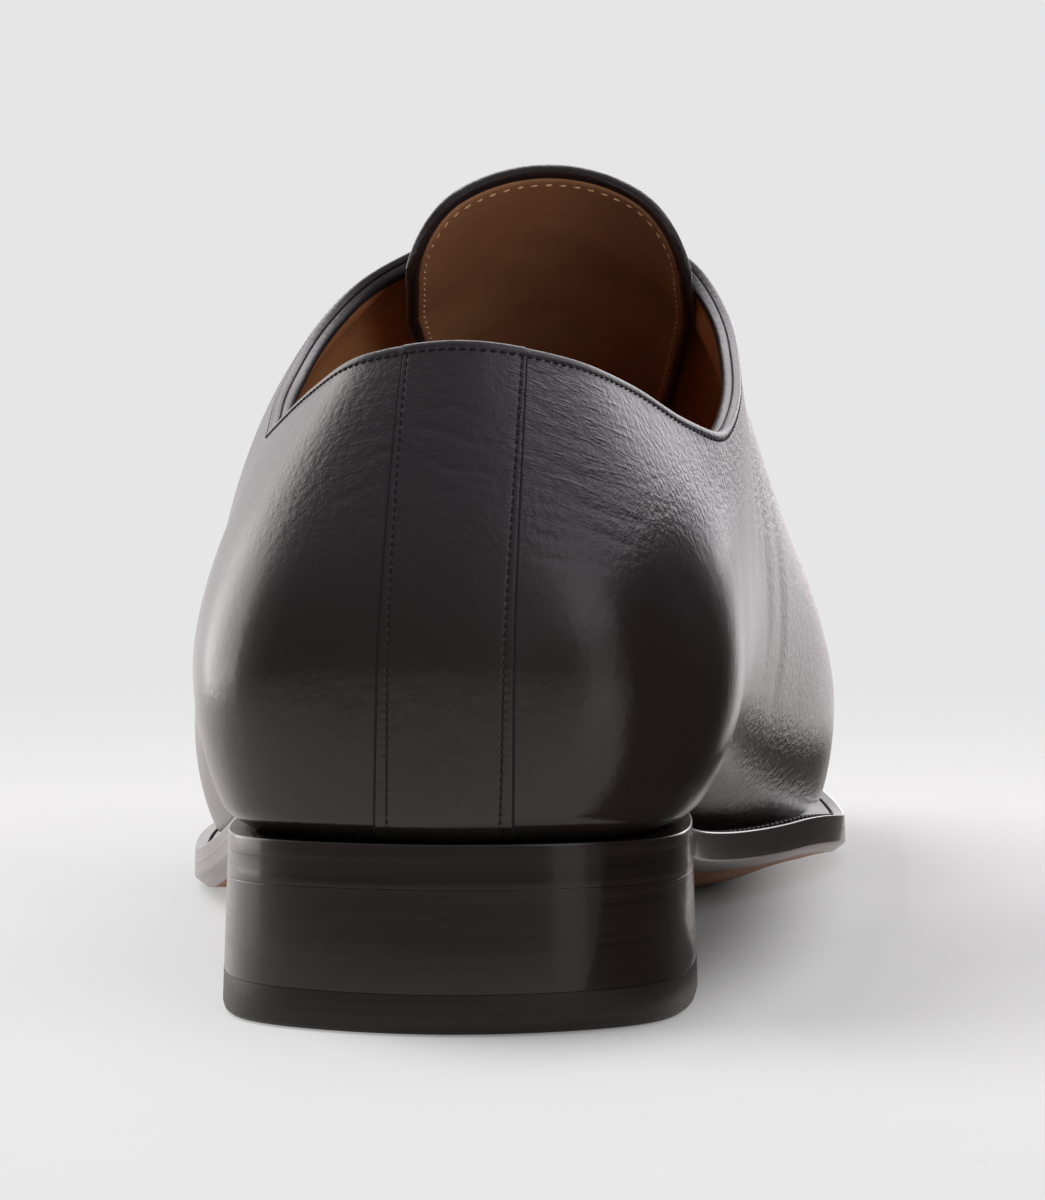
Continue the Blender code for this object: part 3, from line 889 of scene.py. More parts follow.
@dataclass(frozen=True)
class LaceFinish(TonedFinish):
    """Round braided lace of waxed cotton: two sets of strands that cross round the cord."""

    name: str = "waxed_lace"
    coat: float = 0.1
    coat_roughness: float = 0.35
    colours: Colours = (rgb(0.004, 0.004, 0.005), rgb(0.020, 0.019, 0.021))
    roughness: Pair = (0.62, 0.40)
    strand: float = 1.1
    strands: float = 6.0
    fibre: float = 5200.0
    fibre_share: float = 0.4
    braid: Pair = (-0.7, 1.1)
    depth: float = 0.09

    def material(self, effects: Effects) -> Material:
        """Build the material: the braid's height is the product of two crossing sine waves."""
        material, graph, shader = self.start()
        run = graph.sum("MULTIPLY", graph.point_value("cord_run"), 2 * math.pi / self.strand)
        turn = graph.sum("MULTIPLY", graph.point_value("cord_turn"), 2 * math.pi * self.strands)
        one = graph.sum("SINE", graph.sum("ADD", run, turn))
        two = graph.sum("SINE", graph.sum("SUBTRACT", run, turn))
        weave = graph.sum("MULTIPLY", one, two)
        fibre = graph.noise(graph.place(), self.fibre)
        height = graph.weighted(weave, fibre, (1.0, self.fibre_share))
        self.dress(graph, shader, graph.spread(height, self.braid, FULL), height)
        return material


class Finishes:
    """The shoe's materials, each built once."""

    def __init__(self) -> None:
        """Build them all on shared effects."""
        effects = Effects()
        self.calf = CalfFinish().material(effects)
        self.lining = LiningFinish().material(effects)
        # The tongue's lining is a darker copy of the tan lining: partly a browner leather and
        # partly painted shade inside the shoe.
        self.brown_and_shaded_lining = LiningFinish("brown_and_shaded_lining", colours=(
            rgb(0.29, 0.140, 0.070), rgb(0.18, 0.083, 0.040))).material(effects)
        self.edge = EdgeFinish().material(effects)
        self.sole = SoleFinish().material(effects)
        self.rubber = RubberFinish().material(effects)
        self.lace = LaceFinish().material(effects)
        self.thread = ThreadFinish("black_thread").material(effects)
        self.tan_thread = ThreadFinish("tan_thread", colours=(
            rgb(0.34, 0.20, 0.10), rgb(0.58, 0.40, 0.24))).material(effects)


@dataclass(frozen=True)
class Mark:
    """One fold mark, from (s0, z0) to (s1, z1), with its depth and its half width.

    s is the distance along the sole's outline from the middle of the heel, positive on the inner
    side, and z is the height.
    """

    s0: float
    z0: float
    s1: float
    z1: float
    depth: float
    width: float


@dataclass(frozen=True)
class Creases:
    """Fold marks, listed one by one: on and beside the back strap, and three soft ones on the
    flank.
    """

    marks: tuple[Mark, ...] = (
        Mark(9.0, 82.0, 24.0, 77.0, 0.12, 0.9), Mark(9.0, 79.5, 27.0, 73.5, 0.17, 0.8),
        Mark(9.0, 77.6, 22.0, 74.0, 0.15, 0.7), Mark(9.2, 75.5, 30.0, 68.5, 0.20, 0.8),
        Mark(9.0, 73.2, 25.0, 69.2, 0.14, 0.7), Mark(9.0, 71.0, 31.0, 64.5, 0.18, 0.9),
        Mark(9.0, 69.0, 22.0, 66.3, 0.13, 0.7), Mark(10.0, 66.8, 28.0, 62.0, 0.13, 0.9),
        Mark(9.0, 64.5, 20.0, 62.6, 0.10, 0.8), Mark(10.0, 62.0, 24.0, 58.6, 0.09, 1.0),
        Mark(-9.0, 78.0, -19.0, 75.0, 0.10, 0.8), Mark(-9.0, 74.6, -17.0, 72.6, 0.09, 0.8),
        Mark(-10.0, 71.0, -20.0, 67.5, 0.09, 0.9), Mark(-7.0, 77.2, 8.0, 75.0, 0.14, 0.8),
        Mark(-6.0, 73.5, 8.0, 70.8, 0.15, 0.7), Mark(-7.0, 80.0, 7.5, 79.0, 0.09, 0.9),
        Mark(-2.0, 72.0, 7.5, 69.6, 0.09, 0.6), Mark(-5.5, 69.6, 6.0, 68.6, 0.06, 0.8),
        Mark(124.0, 84.0, 128.0, 50.0, 0.45, 6.0), Mark(140.0, 76.0, 146.0, 34.0, 0.6, 7.0),
        Mark(158.0, 64.0, 166.0, 28.0, 0.5, 6.0))
    wander: float = 0.35
    wander_turn: float = 7.0
    wander_phase: float = 2.4
    end_fade: float = 0.7
    ridge: float = 0.55
    width_share: float = 0.75
    depth_share: float = 0.7
    fold_bend: float = 16.0
    fold_slope: float = 20.0
    fold_length: float = 4.5
    fold_pitch: float = 0.55
    fold_z: Pair = (60.0, 76.0)
    fold_rise: Pair = (7.0, 11.0)
    fold_fall: Pair = (20.0, 40.0)
    fold_end: Pair = (24.0, 44.0)
    fold_least: float = 0.18

    @staticmethod
    def outline_run(u: Array) -> Array:
        """Distance along the sole's outline from the heel's middle, positive on the inner side."""
        rows = np.linspace(-TOE_ROW, TOE_ROW, OUTLINE_SAMPLES + 1)
        run = arc_length(LAST.outline(rows, 0.0))
        return np.interp(0.0, rows, run) - np.interp(u, rows, run)

    def fine_folds(self, s: Array, z: Array) -> dict[str, Array]:
        """Point values for the fine wrinkles: places along and across them, and where they show."""
        down = math.radians(self.fold_slope)
        bent = np.sqrt(s ** 2 + self.fold_bend ** 2) - self.fold_bend
        along = s * math.cos(down)
        across = bent * math.sin(down) + z * math.cos(down)
        inner = hump(self.fold_rise, self.fold_fall, s)
        shows = smooth_step(*self.fold_z, z) * (1 - smooth_step(*self.fold_end, np.abs(s)))
        shows = shows * (self.fold_least + (1 - self.fold_least) * inner)
        return {"fold_along": along / self.fold_length, "fold_across": across / self.fold_pitch,
                "folds": shows}

    def height(self, u: Array, z: Array) -> Array:
        """Height of the leather over the smooth skin.

        Across a mark, at q half widths from it, the height is -depth (1 - ridge q^2) exp(-q^2): a
        trough with a low ridge on each side. Along it the depth fades out at both ends.

        Args:
            u: Row numbers.
            z: Heights over the floor, in the shape of u.

        Returns:
            Heights in the shape of u.
        """
        s = self.outline_run(u)
        total = np.zeros_like(s)
        for number, mark in enumerate(self.marks):
            ds, dz = mark.s1 - mark.s0, mark.z1 - mark.z0
            long = math.hypot(ds, dz)
            t = np.clip(((s - mark.s0) * ds + (z - mark.z0) * dz) / long ** 2, 0, 1)
            across = ((z - mark.z0) * ds - (s - mark.s0) * dz) / long
            bend = self.wander * np.sin(self.wander_turn * t + self.wander_phase * number)
            q = (across - bend) / (self.width_share * mark.width)
            trough = (1 - self.ridge * q ** 2) * np.exp(-q ** 2)
            total -= self.depth_share * mark.depth * trough * (4 * t * (1 - t)) ** self.end_fade
        return total


@dataclass(frozen=True)
class Rim:
    """Top line of the upper between the throat's two ends, with directions at each point of it."""

    end: float = float(THROAT_END)
    spacing: float = 0.7
    samples: int = 4001

    def measured(self) -> tuple[Array, Array]:
        """Row numbers close together along the rim, and the distance run at each."""
        dense = np.linspace(-self.end, self.end, self.samples)
        return dense, arc_length(LAST.top(dense))

    def from_heel(self, w: Array) -> Array:
        """Distance along the rim from the heel's middle."""
        dense, run = self.measured()
        return np.interp(w, dense, run) - np.interp(0.0, dense, run)

    def places(self) -> Array:
        """Row numbers along the rim, evenly spaced along its length."""
        dense, run = self.measured()
        return np.interp(np.linspace(0, run[-1], int(run[-1] / self.spacing)), run, dense)

    def directions(self, w: Array) -> tuple[Array, Array, Array]:
        """Points of the rim, outward normals, and directions down the skin, square to the rim."""
        low = np.maximum(w - LAST.step, -self.end)
        high = np.minimum(w + LAST.step, self.end)
        along = unit(LAST.top(high) - LAST.top(low))
        out = LAST.normals(w, np.full_like(w, 1 - 2 * LAST.step))
        out = unit(out - along * np.sum(out * along, axis=-1, keepdims=True))
        return LAST.top(w), out, np.cross(out, along)


@dataclass(frozen=True)
class StrapShape:
    """Strip of leather over the back seam, from the collar's bead down to the heel seat."""

    half_width: Pair = (8.9, 8.25)
    lean: Pair = (-0.35, 0.62)
    lift: float = 0.24
    bottom: float = -0.35
    edge: Pairs = (
        (0.08, -0.2), (0.07, 0.05), (0.04, 0.15), (-0.06, 0.22), (-0.2, 0.24))
    # The ink is a black cord over each edge of the strap and the skin beside it: the inked edge,
    # and painted shade where the strap meets the skin.
    ink_and_shade: float = 0.23
    ink_and_shade_sides: int = 8
    ends: Pair = (0.004, 0.998)
    levels: int = 260
    columns: int = 25
    seam_inset: Pair = (1.6, 0.55)
    groove: float = 0.10
    groove_width: float = 0.20
    groove_reach: float = 0.3
    groove_columns: int = 9
    flat_inset: float = 0.45
    pit: float = 0.14
    back_share: float = 0.3
    pebble: float = 0.4
    pebble_z: Pair = (46.0, 66.0)
    reach: float = 1.2
    samples: int = 161

    def row_at(self, v: Array, offsets: Array) -> Array:
        """Row numbers at distances along the skin from the strap's middle, at each height.

        Args:
            v: Heights.
            offsets: Distances of shape (count, len(v)), positive on the inner side.

        Returns:
            Row numbers in the shape of offsets. The middle leans from the heel's own middle line.
        """
        u = np.linspace(self.reach, -self.reach, self.samples)
        lines = LAST.skin(*np.broadcast_arrays(u[None, :], v[:, None]))
        steps = np.linalg.norm(np.diff(lines, axis=1), axis=-1)
        run = np.concatenate([np.zeros((len(v), 1)), np.cumsum(steps, axis=1)], axis=1)
        run -= run[:, len(u) // 2][:, None] + np.interp(v, (0, 1), self.lean)[:, None]
        return np.stack([np.interp(offsets[:, i], run[i], u) for i in range(len(v))], axis=1)

    def edge_at(self, v: Array) -> Array:
        """Distance of the strap's edges from its middle at each height."""
        return np.interp(v, (0, 1), self.half_width)

    def seam(self, v: Array) -> Array:
        """Distance of the stitch rows from the strap's middle at each height."""
        return self.edge_at(v) - np.interp(v, (0, 1), self.seam_inset)

    def offsets(self, v: Array) -> Array:
        """Distances of the strap's columns from its middle: edge, groove, flat, groove and edge."""
        side = np.array(self.edge)[:, 0]
        fine = np.linspace(-self.groove_reach, self.groove_reach, self.groove_columns)
        edge, seam = self.edge_at(v), self.seam(v)
        flat = np.linspace(-1, 1, self.columns)[:, None] * (seam - self.flat_inset)
        return np.concatenate([-edge - side[:, None], fine[:, None] - seam, flat,
                               fine[:, None] + seam, edge + side[::-1, None]])


@dataclass
class Upper:
    """Leather upper: shell, lining, back strap, bead round the opening, and their stitches."""

    finishes: Finishes
    wall: float = 1.25
    lining_outer: float = 1.32
    lining_inner: float = 2.0
    heel_reach: float = 3.2
    heel_columns: int = 246
    side_columns: int = 196
    bands: tuple[tuple[float, float, int], ...] = ((0.0, 0.09, 12), (0.09, 0.5, 32), (0.5, 1.0, 76))
    inner_levels: int = 14
    lining_levels: tuple[int, int] = (13, 48)
    foot: float = 0.09
    lining_foot: Pairs = ((3.4, 2.2), (2.9, 1.6))
    rim_drop: float = 0.45
    rim_fade: float = 1.5
    rim_end: Pair = (10.2, 10.9)
    ridge_v: Pair = (0.97, 1.0)
    polish_z: Pair = (44.0, 74.0)
    polish_toe_y: Pair = (180.0, 260.0)
    collar_z: Pair = (56.0, 70.0)
    collar_grain: float = 0.7
    inner_rise: Pair = (8.0, 22.0)
    inner_fall: Pair = (150.0, 190.0)
    front_grain: Pair = (90.0, 130.0)
    roll: Pairs = (
        (1.15, 0.25), (1.09, 0.04), (0.98, -0.1), (0.75, -0.19), (0.42, -0.22), (0.16, -0.18),
        (0.0, -0.08), (-0.11, 0.08), (-0.15, 0.32), (-0.15, 0.72), (-0.1, 0.92), (0.06, 1.0),
        (-0.08, 1.1), (-0.14, 1.28), (-0.17, 1.7), (-0.12, 2.15), (0.06, 2.42), (0.4, 2.56),
        (0.9, 2.6), (1.4, 2.52), (1.8, 2.25), (1.9, 1.9))
    roll_pebble: float = 0.3
    push_edge: Pair = (-0.15, 0.35)
    push_depth: float = 0.7
    push_fade: float = 0.5
    seam_lift: float = 0.04
    seam_drop: float = 1.14
    inside_seam_drop: float = 1.98
    inside_seam_depth: float = 2.0
    thread: Thread = Thread()
    strap_thread: Thread = Thread(pitch=1.15, length=0.85, width=0.36, height=0.10)
    tack_thread: Thread = Thread(pitch=0.7, length=2.4, width=0.55, height=0.3, slant=0.0)
    tack_half: float = 3.2
    tack_reach: float = 0.12
    tack_samples: int = 40
    tack_v: float = 0.97
    tack_lift: float = 0.15
    creases: Creases = Creases()
    rim: Rim = Rim()
    strap: StrapShape = StrapShape()

    def columns(self) -> Array:
        """Row numbers round the shoe: close together on the heel, wider on the sides and toe."""
        heel = np.linspace(0, self.heel_reach, self.heel_columns // 2 + 1)
        throat = np.linspace(self.heel_reach, THROAT_END, self.side_columns // 2)
        toe = np.linspace(THROAT_END, TOE_ROW, self.side_columns // 2)
        half = np.concatenate([heel, throat[1:], toe[1:]])
        return np.concatenate([-half[:0:-1], half])

    def surface(self, u: Array, v: Array, depth: Array | float) -> Array:
        """Skin moved inwards by depth, lowered a little under the bead at its top.

        Args:
            u: Row numbers of the columns.
            v: Heights of the levels.
            depth: Distance inwards along the normal, of shape (levels, columns) or one number.

        Returns:
            Points of shape (levels, columns, 3). On the ridge both sides share one normal.
        """
        rows, heights = np.broadcast_arrays(u[None, :], v[:, None])
        points = LAST.skin(rows, heights)
        normals = LAST.normals(rows, heights)
        other = LAST.normals(-rows, heights)
        ridge = smooth_step(*self.ridge_v, heights) * (np.abs(rows) >= THROAT_END)
        normals = unit(normals + ridge[..., None] * other)
        top, _, down = self.rim.directions(np.clip(u, -THROAT_END, THROAT_END))
        below = np.sum((points - top) * down, axis=-1)
        share = np.exp(-(below / self.rim_fade) ** 2)
        share = share * (1 - smooth_step(*self.rim_end, np.abs(rows)))
        points = points + self.rim_drop * share[..., None] * down
        return points - normals * np.broadcast_to(depth, rows.shape)[..., None]

    def shell_fields(self, u: Array, points: Array) -> dict[str, Array]:
        """Point values for the calf: smooth low on the heel and at the toe, else grained."""
        z, y = points[..., 2], points[..., 1]
        s = np.broadcast_to(self.creases.outline_run(u), z.shape)
        polish = 1 - smooth_step(*self.polish_z, z) * (1 - smooth_step(*self.polish_toe_y, y))
        collar = smooth_step(*self.collar_z, z)
        inner = hump(self.inner_rise, self.inner_fall, s)
        pebble = collar * (self.collar_grain + (1 - self.collar_grain) * inner)
        pebble = pebble + smooth_step(*self.front_grain, np.abs(s)) * (1 - collar)
        return {"polish": polish, "pebble": np.clip(pebble, 0, 1), **self.creases.fine_folds(s, z)}

    @staticmethod
    def top_edge(u: Array, outer: Array, inner: Array) -> Patch:
        """Strip over the top of two layers, round the opening from one end of the throat."""
        opening = np.abs(u) <= THROAT_END + TINY
        return grid(np.stack([outer[-1, opening], inner[0, opening]]))

    def build_shell(self) -> None:
        """Outer leather: the skin with its creases, an inner face, and strips that close both."""
        u = self.columns()
        v = np.unique(np.concatenate([np.linspace(*band) for band in self.bands]))
        smooth = self.surface(u, v, 0.0)
        rows = np.broadcast_to(u, smooth.shape[:2])
        outer = self.surface(u, v, -self.creases.height(rows, smooth[..., 2]))
        inner = self.surface(u, np.linspace(1, self.foot, self.inner_levels), self.wall)
        inner = np.concatenate([inner, outer[:1]])
        fields = self.shell_fields(u, outer)
        patches = [grid(outer, **fields), grid(inner), self.top_edge(u, outer, inner)]
        make_piece("upper_shell", patches, [self.finishes.calf], replaces=["upper"])

    def build_lining(self) -> None:
        """Lining: a thin tan layer inside the shell, closed all round."""
        u = self.columns()
        u = np.concatenate([u[:1], u[1:-1:2], u[-1:]])
        rising, falling = [np.linspace(self.foot, 1, count) for count in self.lining_levels]
        margin = LAST.curve(("margin",), u, Flow.SMOOTH)[:, 0]
        feet = [LAST.at_sole(LAST.outline(u, margin + inset), rise)[None]
                for inset, rise in self.lining_foot]
        outer = np.concatenate([feet[1], self.surface(u, rising, self.lining_outer)])
        inner = np.concatenate([self.surface(u, falling[::-1], self.lining_inner), feet[0]])
        foot = grid(np.stack([inner[-1], outer[0]]))
        patches = [grid(outer), grid(inner), self.top_edge(u, outer, inner), foot]
        make_piece("upper_lining", patches, [self.finishes.lining])

    def roll_push(self, w: Array) -> Array:
        """How far the bead stands out where it passes over the strap."""
        run = np.abs(self.rim.from_heel(w) + self.strap.lean[1]) - self.strap.half_width[1]
        return self.strap.lift * (1 - smooth_step(*self.push_edge, run))

    def build_roll(self) -> None:
        """Turned bead round the collar and the facings: a double profile carried along the rim."""
        w = self.rim.places()
        line, out, down = self.rim.directions(w)
        drop, depth = np.array(self.roll).T[:, :, None, None]
        push = self.roll_push(w)[:, None]
        pushed = push * np.clip((self.push_depth - depth) / self.push_fade, 0, 1)
        points = line + drop * down - (depth - pushed) * out
        patch = capped(grid(points, ring=True, polish=0.0, pebble=self.roll_pebble), len(w))
        make_piece("collar_roll", [patch], [self.finishes.calf])
        outside = line + self.seam_drop * down + (self.seam_lift + push) * out
        inside = line + self.inside_seam_drop * down - self.inside_seam_depth * out
        threads = [self.thread.row(outside, out), self.thread.row(inside, -out), self.tack()]
        make_piece("collar_stitches", threads, [self.finishes.thread])

    def tack(self) -> Patch:
        """Bar of thread across the throat's end, on the two facings."""
        side = 1 - 1e-6 - np.linspace(0, self.tack_reach, self.tack_samples)
        end = np.full_like(side, THROAT_END)
        run, other = LAST.skin(end, side), LAST.skin(-end, side)
        line = np.concatenate([run[::-1], other[1:]])
        line = line[np.linalg.norm(line - run[0], axis=-1) < self.tack_half]
        count = len(line)
        out = LAST.normals(np.full(count, float(THROAT_END)), np.full(count, self.tack_v))
        return self.tack_thread.row(line + self.tack_lift * out, out)

    def build_strap(self) -> None:
        """Back strap: a rounded strip that follows the skin, with two stitched grooves."""
        shape = self.strap
        v = np.linspace(*shape.ends, shape.levels)
        offsets = shape.offsets(v)
        seam = shape.seam(v)
        rim_lift = np.array(shape.edge)[:, 1]
        lift = np.full(len(offsets), shape.lift)
        lift[:len(rim_lift)] = rim_lift
        lift[-len(rim_lift):] = rim_lift[::-1]
        u = shape.row_at(v, offsets)
        heights = np.broadcast_to(v, u.shape)
        skin = LAST.skin(u, heights)
        run = arc_length(LAST.skin(np.zeros_like(v), v))
        trough = np.exp(-((np.abs(offsets) - seam) / shape.groove_width) ** 2)
        pits = 0.5 + 0.5 * np.cos(2 * np.pi * run / self.strap_thread.pitch)
        dip = trough * (shape.groove + shape.pit * pits ** 3)
        stands = lift[:, None] - dip + self.creases.height(u, skin[..., 2])
        top = skin + LAST.normals(u, heights) * stands[..., None]
        low, high = offsets[0], offsets[-1]
        back = np.array([high, shape.back_share * high, shape.back_share * low, low])
        below = shape.row_at(v, back)
        heights = np.broadcast_to(v, below.shape)
        under = LAST.skin(below, heights) + shape.bottom * LAST.normals(below, heights)
        points = np.concatenate([top, under])
        z = points[..., 2]
        folds = self.creases.fine_folds(
            self.creases.outline_run(np.concatenate([u, below])), z)
        patch = grid(points, ring=True, polish=1 - smooth_step(*self.polish_z, z),
                     pebble=shape.pebble * smooth_step(*shape.pebble_z, z), **folds)
        make_piece("back_strap", [capped(patch, len(v))], [self.finishes.calf])
        threads = []
        for side in (-1, 1):
            place = shape.row_at(v, side * seam[None])[0]
            line, out = LAST.skin(place, v), LAST.normals(place, v)
            threads.append(self.strap_thread.row(line + (shape.lift - shape.groove) * out, out))
            # Black cord along each edge: inked edge and painted shade at the strap's foot.
            place = shape.row_at(v, side * (shape.edge_at(v) + 0.5 * shape.ink_and_shade)[None])[0]
            line, out = LAST.skin(place, v), LAST.normals(place, v)
            threads.append(tube(line, out, shape.ink_and_shade, sides=shape.ink_and_shade_sides))
        make_piece("strap_stitches", threads, [self.finishes.thread])

    def build(self) -> None:
        """Build the whole upper."""
        self.build_shell()
        self.build_lining()
        self.build_roll()
        self.build_strap()


@dataclass(frozen=True)
class Instep:
    """Middle line of the throat, which the tongue and the lace follow."""

    rows: tuple[int, ...] = tuple(range(FACING_TOP, THROAT_END + 2))

    def at(self, y: Array) -> tuple[Array, Array]:
        """Points of the middle line at y, and normals square to it.

        Returns:
            Points whose height is a parabola and whose x is a line through the rows, and normals.
        """
        both = [(ROWS[row], ROWS[ROW_COUNT - row]) for row in self.rows]
        middle = np.array([[0.5 * (a.top_x + b.top_x), a.top_y, a.top_z] for a, b in both])
        rise = np.polyfit(middle[:, 1], middle[:, 2], 2)
        side = np.polyfit(middle[:, 1], middle[:, 0], 1)
        slope = np.polyval(np.polyder(rise), y)
        normal = unit(np.column_stack([np.zeros_like(y), -slope, np.ones_like(y)]))
        return np.column_stack([np.polyval(side, y), y, np.polyval(rise, y)]), normal


@dataclass
class Tongue:
    """Arched leaf under the facings: calf outside, a darker tan lining inside, partly a browner
    leather and partly painted shade, sewn round its edge.
    """

    finishes: Finishes
    thickness: float = 1.6
    foot_y: float = 182.0
    top_y: float = 102.8
    corner: float = 13.0
    clearance: Pair = (0.4, 3.2)
    radius: Floats = (16.0, 22.6, 21.5)
    radius_at: Floats = (0.0, 0.7, 1.0)
    dome: Pair = (7.5, 21.5)
    sweep: float = math.radians(68)
    length: float = 93.0
    half_girth: float = 28.0
    rounding: float = 0.8
    edge_steps: Floats = (0.0, 0.04, 0.13, 0.28, 0.5, 0.8)
    rows: int = 84
    columns: int = 84
    polish: float = 0.45
    pebble: float = 0.5
    probe: float = 1e-3
    lining_inset: float = 1.7
    lining_lift: float = 0.32
    lining_sink: float = -0.2
    seam_inset: float = 1.4
    seam_start: float = 30.0
    seam_samples: int = 60
    corner_samples: int = 20
    thread: Thread = Thread(pitch=2.0, length=1.2, width=0.36, height=0.2, slant=0.2)
    instep: Instep = Instep()

    def leaf(self, share: Array, turn: Array, depth: Array | float) -> Array:
        """Leaf under its outer face.

        The spine lies under the throat's middle. Across it a point moves sideways by radius
        sin(turn) and drops by dome (1 - cos(turn)); both grow towards the top.

        Args:
            share: Places along the leaf, 0 at the foot and 1 at the top, in any shape.
            turn: Angles across the leaf, in the shape of share.
            depth: Distance under the outer face.

        Returns:
            Points, in the shape of share with a last axis of 3.
        """
        step = self.probe
        outer = self._outer(share, turn)
        across = self._outer(share, turn + step) - self._outer(share, turn - step)
        along = self._outer(share + step, turn) - self._outer(share - step, turn)
        normal = unit(np.cross(along, across))
        return outer - normal * np.broadcast_to(depth, share.shape)[..., None]

    def _outer(self, share: Array, turn: Array) -> Array:
        """Outer face of the leaf."""
        flat = np.ravel(share)
        middle, normal = self.instep.at(self.foot_y + flat * (self.top_y - self.foot_y))
        clear = LAST.wall + np.interp(flat ** 2, (0, 1), self.clearance)
        radius = np.interp(flat, self.radius_at, self.radius)
        dome = np.interp(flat, (0, 1), self.dome)
        angle = np.ravel(turn)
        points = middle - normal * (clear + dome * (1 - np.cos(angle)))[:, None]
        points[:, 0] += radius * np.sin(angle)
        return points.reshape(*np.shape(share), 3)

    def spaced(self, start: float, end: float, count: int) -> Array:
        """Places from start to end, close together at both ends."""
        near = np.array(self.edge_steps)
        middle = np.linspace(start + near[-1], end - near[-1], count)[1:-1]
        return np.concatenate([start + near, middle, end - near[::-1]])

    def rounded(self, edge: Array) -> Array:
        """Share of the full thickness at distances from an edge: a quarter of a circle."""
        return np.sqrt(1 - (1 - np.clip(edge / self.rounding, 0, 1)) ** 2)

    def net(self, inset: float) -> tuple[Array, Array, Array]:
        """Net over the leaf, inset from its sides and its top.

        Args:
            inset: Distance inside the leaf's outline.

        Returns:
            Shares along the leaf, angles across it, and distances from the net's edge.
        """
        long = self.length - inset
        wide = self.half_girth - inset
        lengthwise = self.spaced(0.0, long, self.rows)
        crosswise = self.spaced(-wide, wide, self.columns)
        corner = self.corner - inset
        into = np.clip((np.abs(crosswise) - wide) / corner + 1, 0, 1)
        limit = long - corner * (1 - np.sqrt(1 - into ** 2))
        along = lengthwise[:, None] * limit / long
        turn = np.broadcast_to(crosswise / self.half_girth * self.sweep, along.shape)
        edge = np.minimum(np.minimum(along, limit - along), wide - np.abs(crosswise))
        return along / self.length, turn, np.maximum(edge, 0.0)

    def build(self) -> None:
        """Leaf with rounded edges, its lining and the lining's stitches."""
        share, turn, edge = self.net(0.0)
        middle = 0.5 * self.thickness
        half = middle * self.rounded(edge)
        outer = self.leaf(share, turn, middle - half)
        inner = self.leaf(share, turn, middle + half)
        wear = {"polish": self.polish, "pebble": self.pebble}
        make_piece("tongue_leaf", [grid(outer, **wear), grid(inner, turn=True, **wear)],
                   [self.finishes.calf], replaces=["tongue"])
        share, turn, edge = self.net(self.lining_inset)
        lift = self.lining_sink + (self.lining_lift - self.lining_sink) * self.rounded(edge)
        face = self.leaf(share, turn, self.thickness + lift)
        back = self.leaf(share, turn, self.thickness + self.lining_sink)
        make_piece("tongue_lining", [grid(face, turn=True), grid(back)],
                   [self.finishes.brown_and_shaded_lining])
        make_piece("tongue_stitches", [self.thread.row(*self.seam())],
                   [self.finishes.tan_thread])

    def seam(self) -> tuple[Array, Array]:
        """Stitch row inside the lining's edge: up one side, round the top's corners and down."""
        inset = self.lining_inset + self.seam_inset
        corner = self.corner - inset
        high, wide = self.length - inset, self.half_girth - inset
        arc = np.linspace(0, 0.5 * np.pi, self.corner_samples)
        side = np.linspace(self.seam_start, high - corner, self.seam_samples)
        lengthwise = np.concatenate([side, high - corner + corner * np.sin(arc)])
        crosswise = np.concatenate([np.full_like(side, -wide),
                                    corner - wide - corner * np.cos(arc)])
        top = np.linspace(corner - wide, wide - corner, self.seam_samples)[1:-1]
        lengthwise = np.concatenate([lengthwise, np.full_like(top, high), lengthwise[::-1]])
        crosswise = np.concatenate([crosswise, top, -crosswise[::-1]])
        share, turn = lengthwise / self.length, crosswise / self.half_girth * self.sweep
        line = self.leaf(share, turn, self.thickness + self.lining_lift)
        return line, unit(line - self.leaf(share, turn, 0.0))


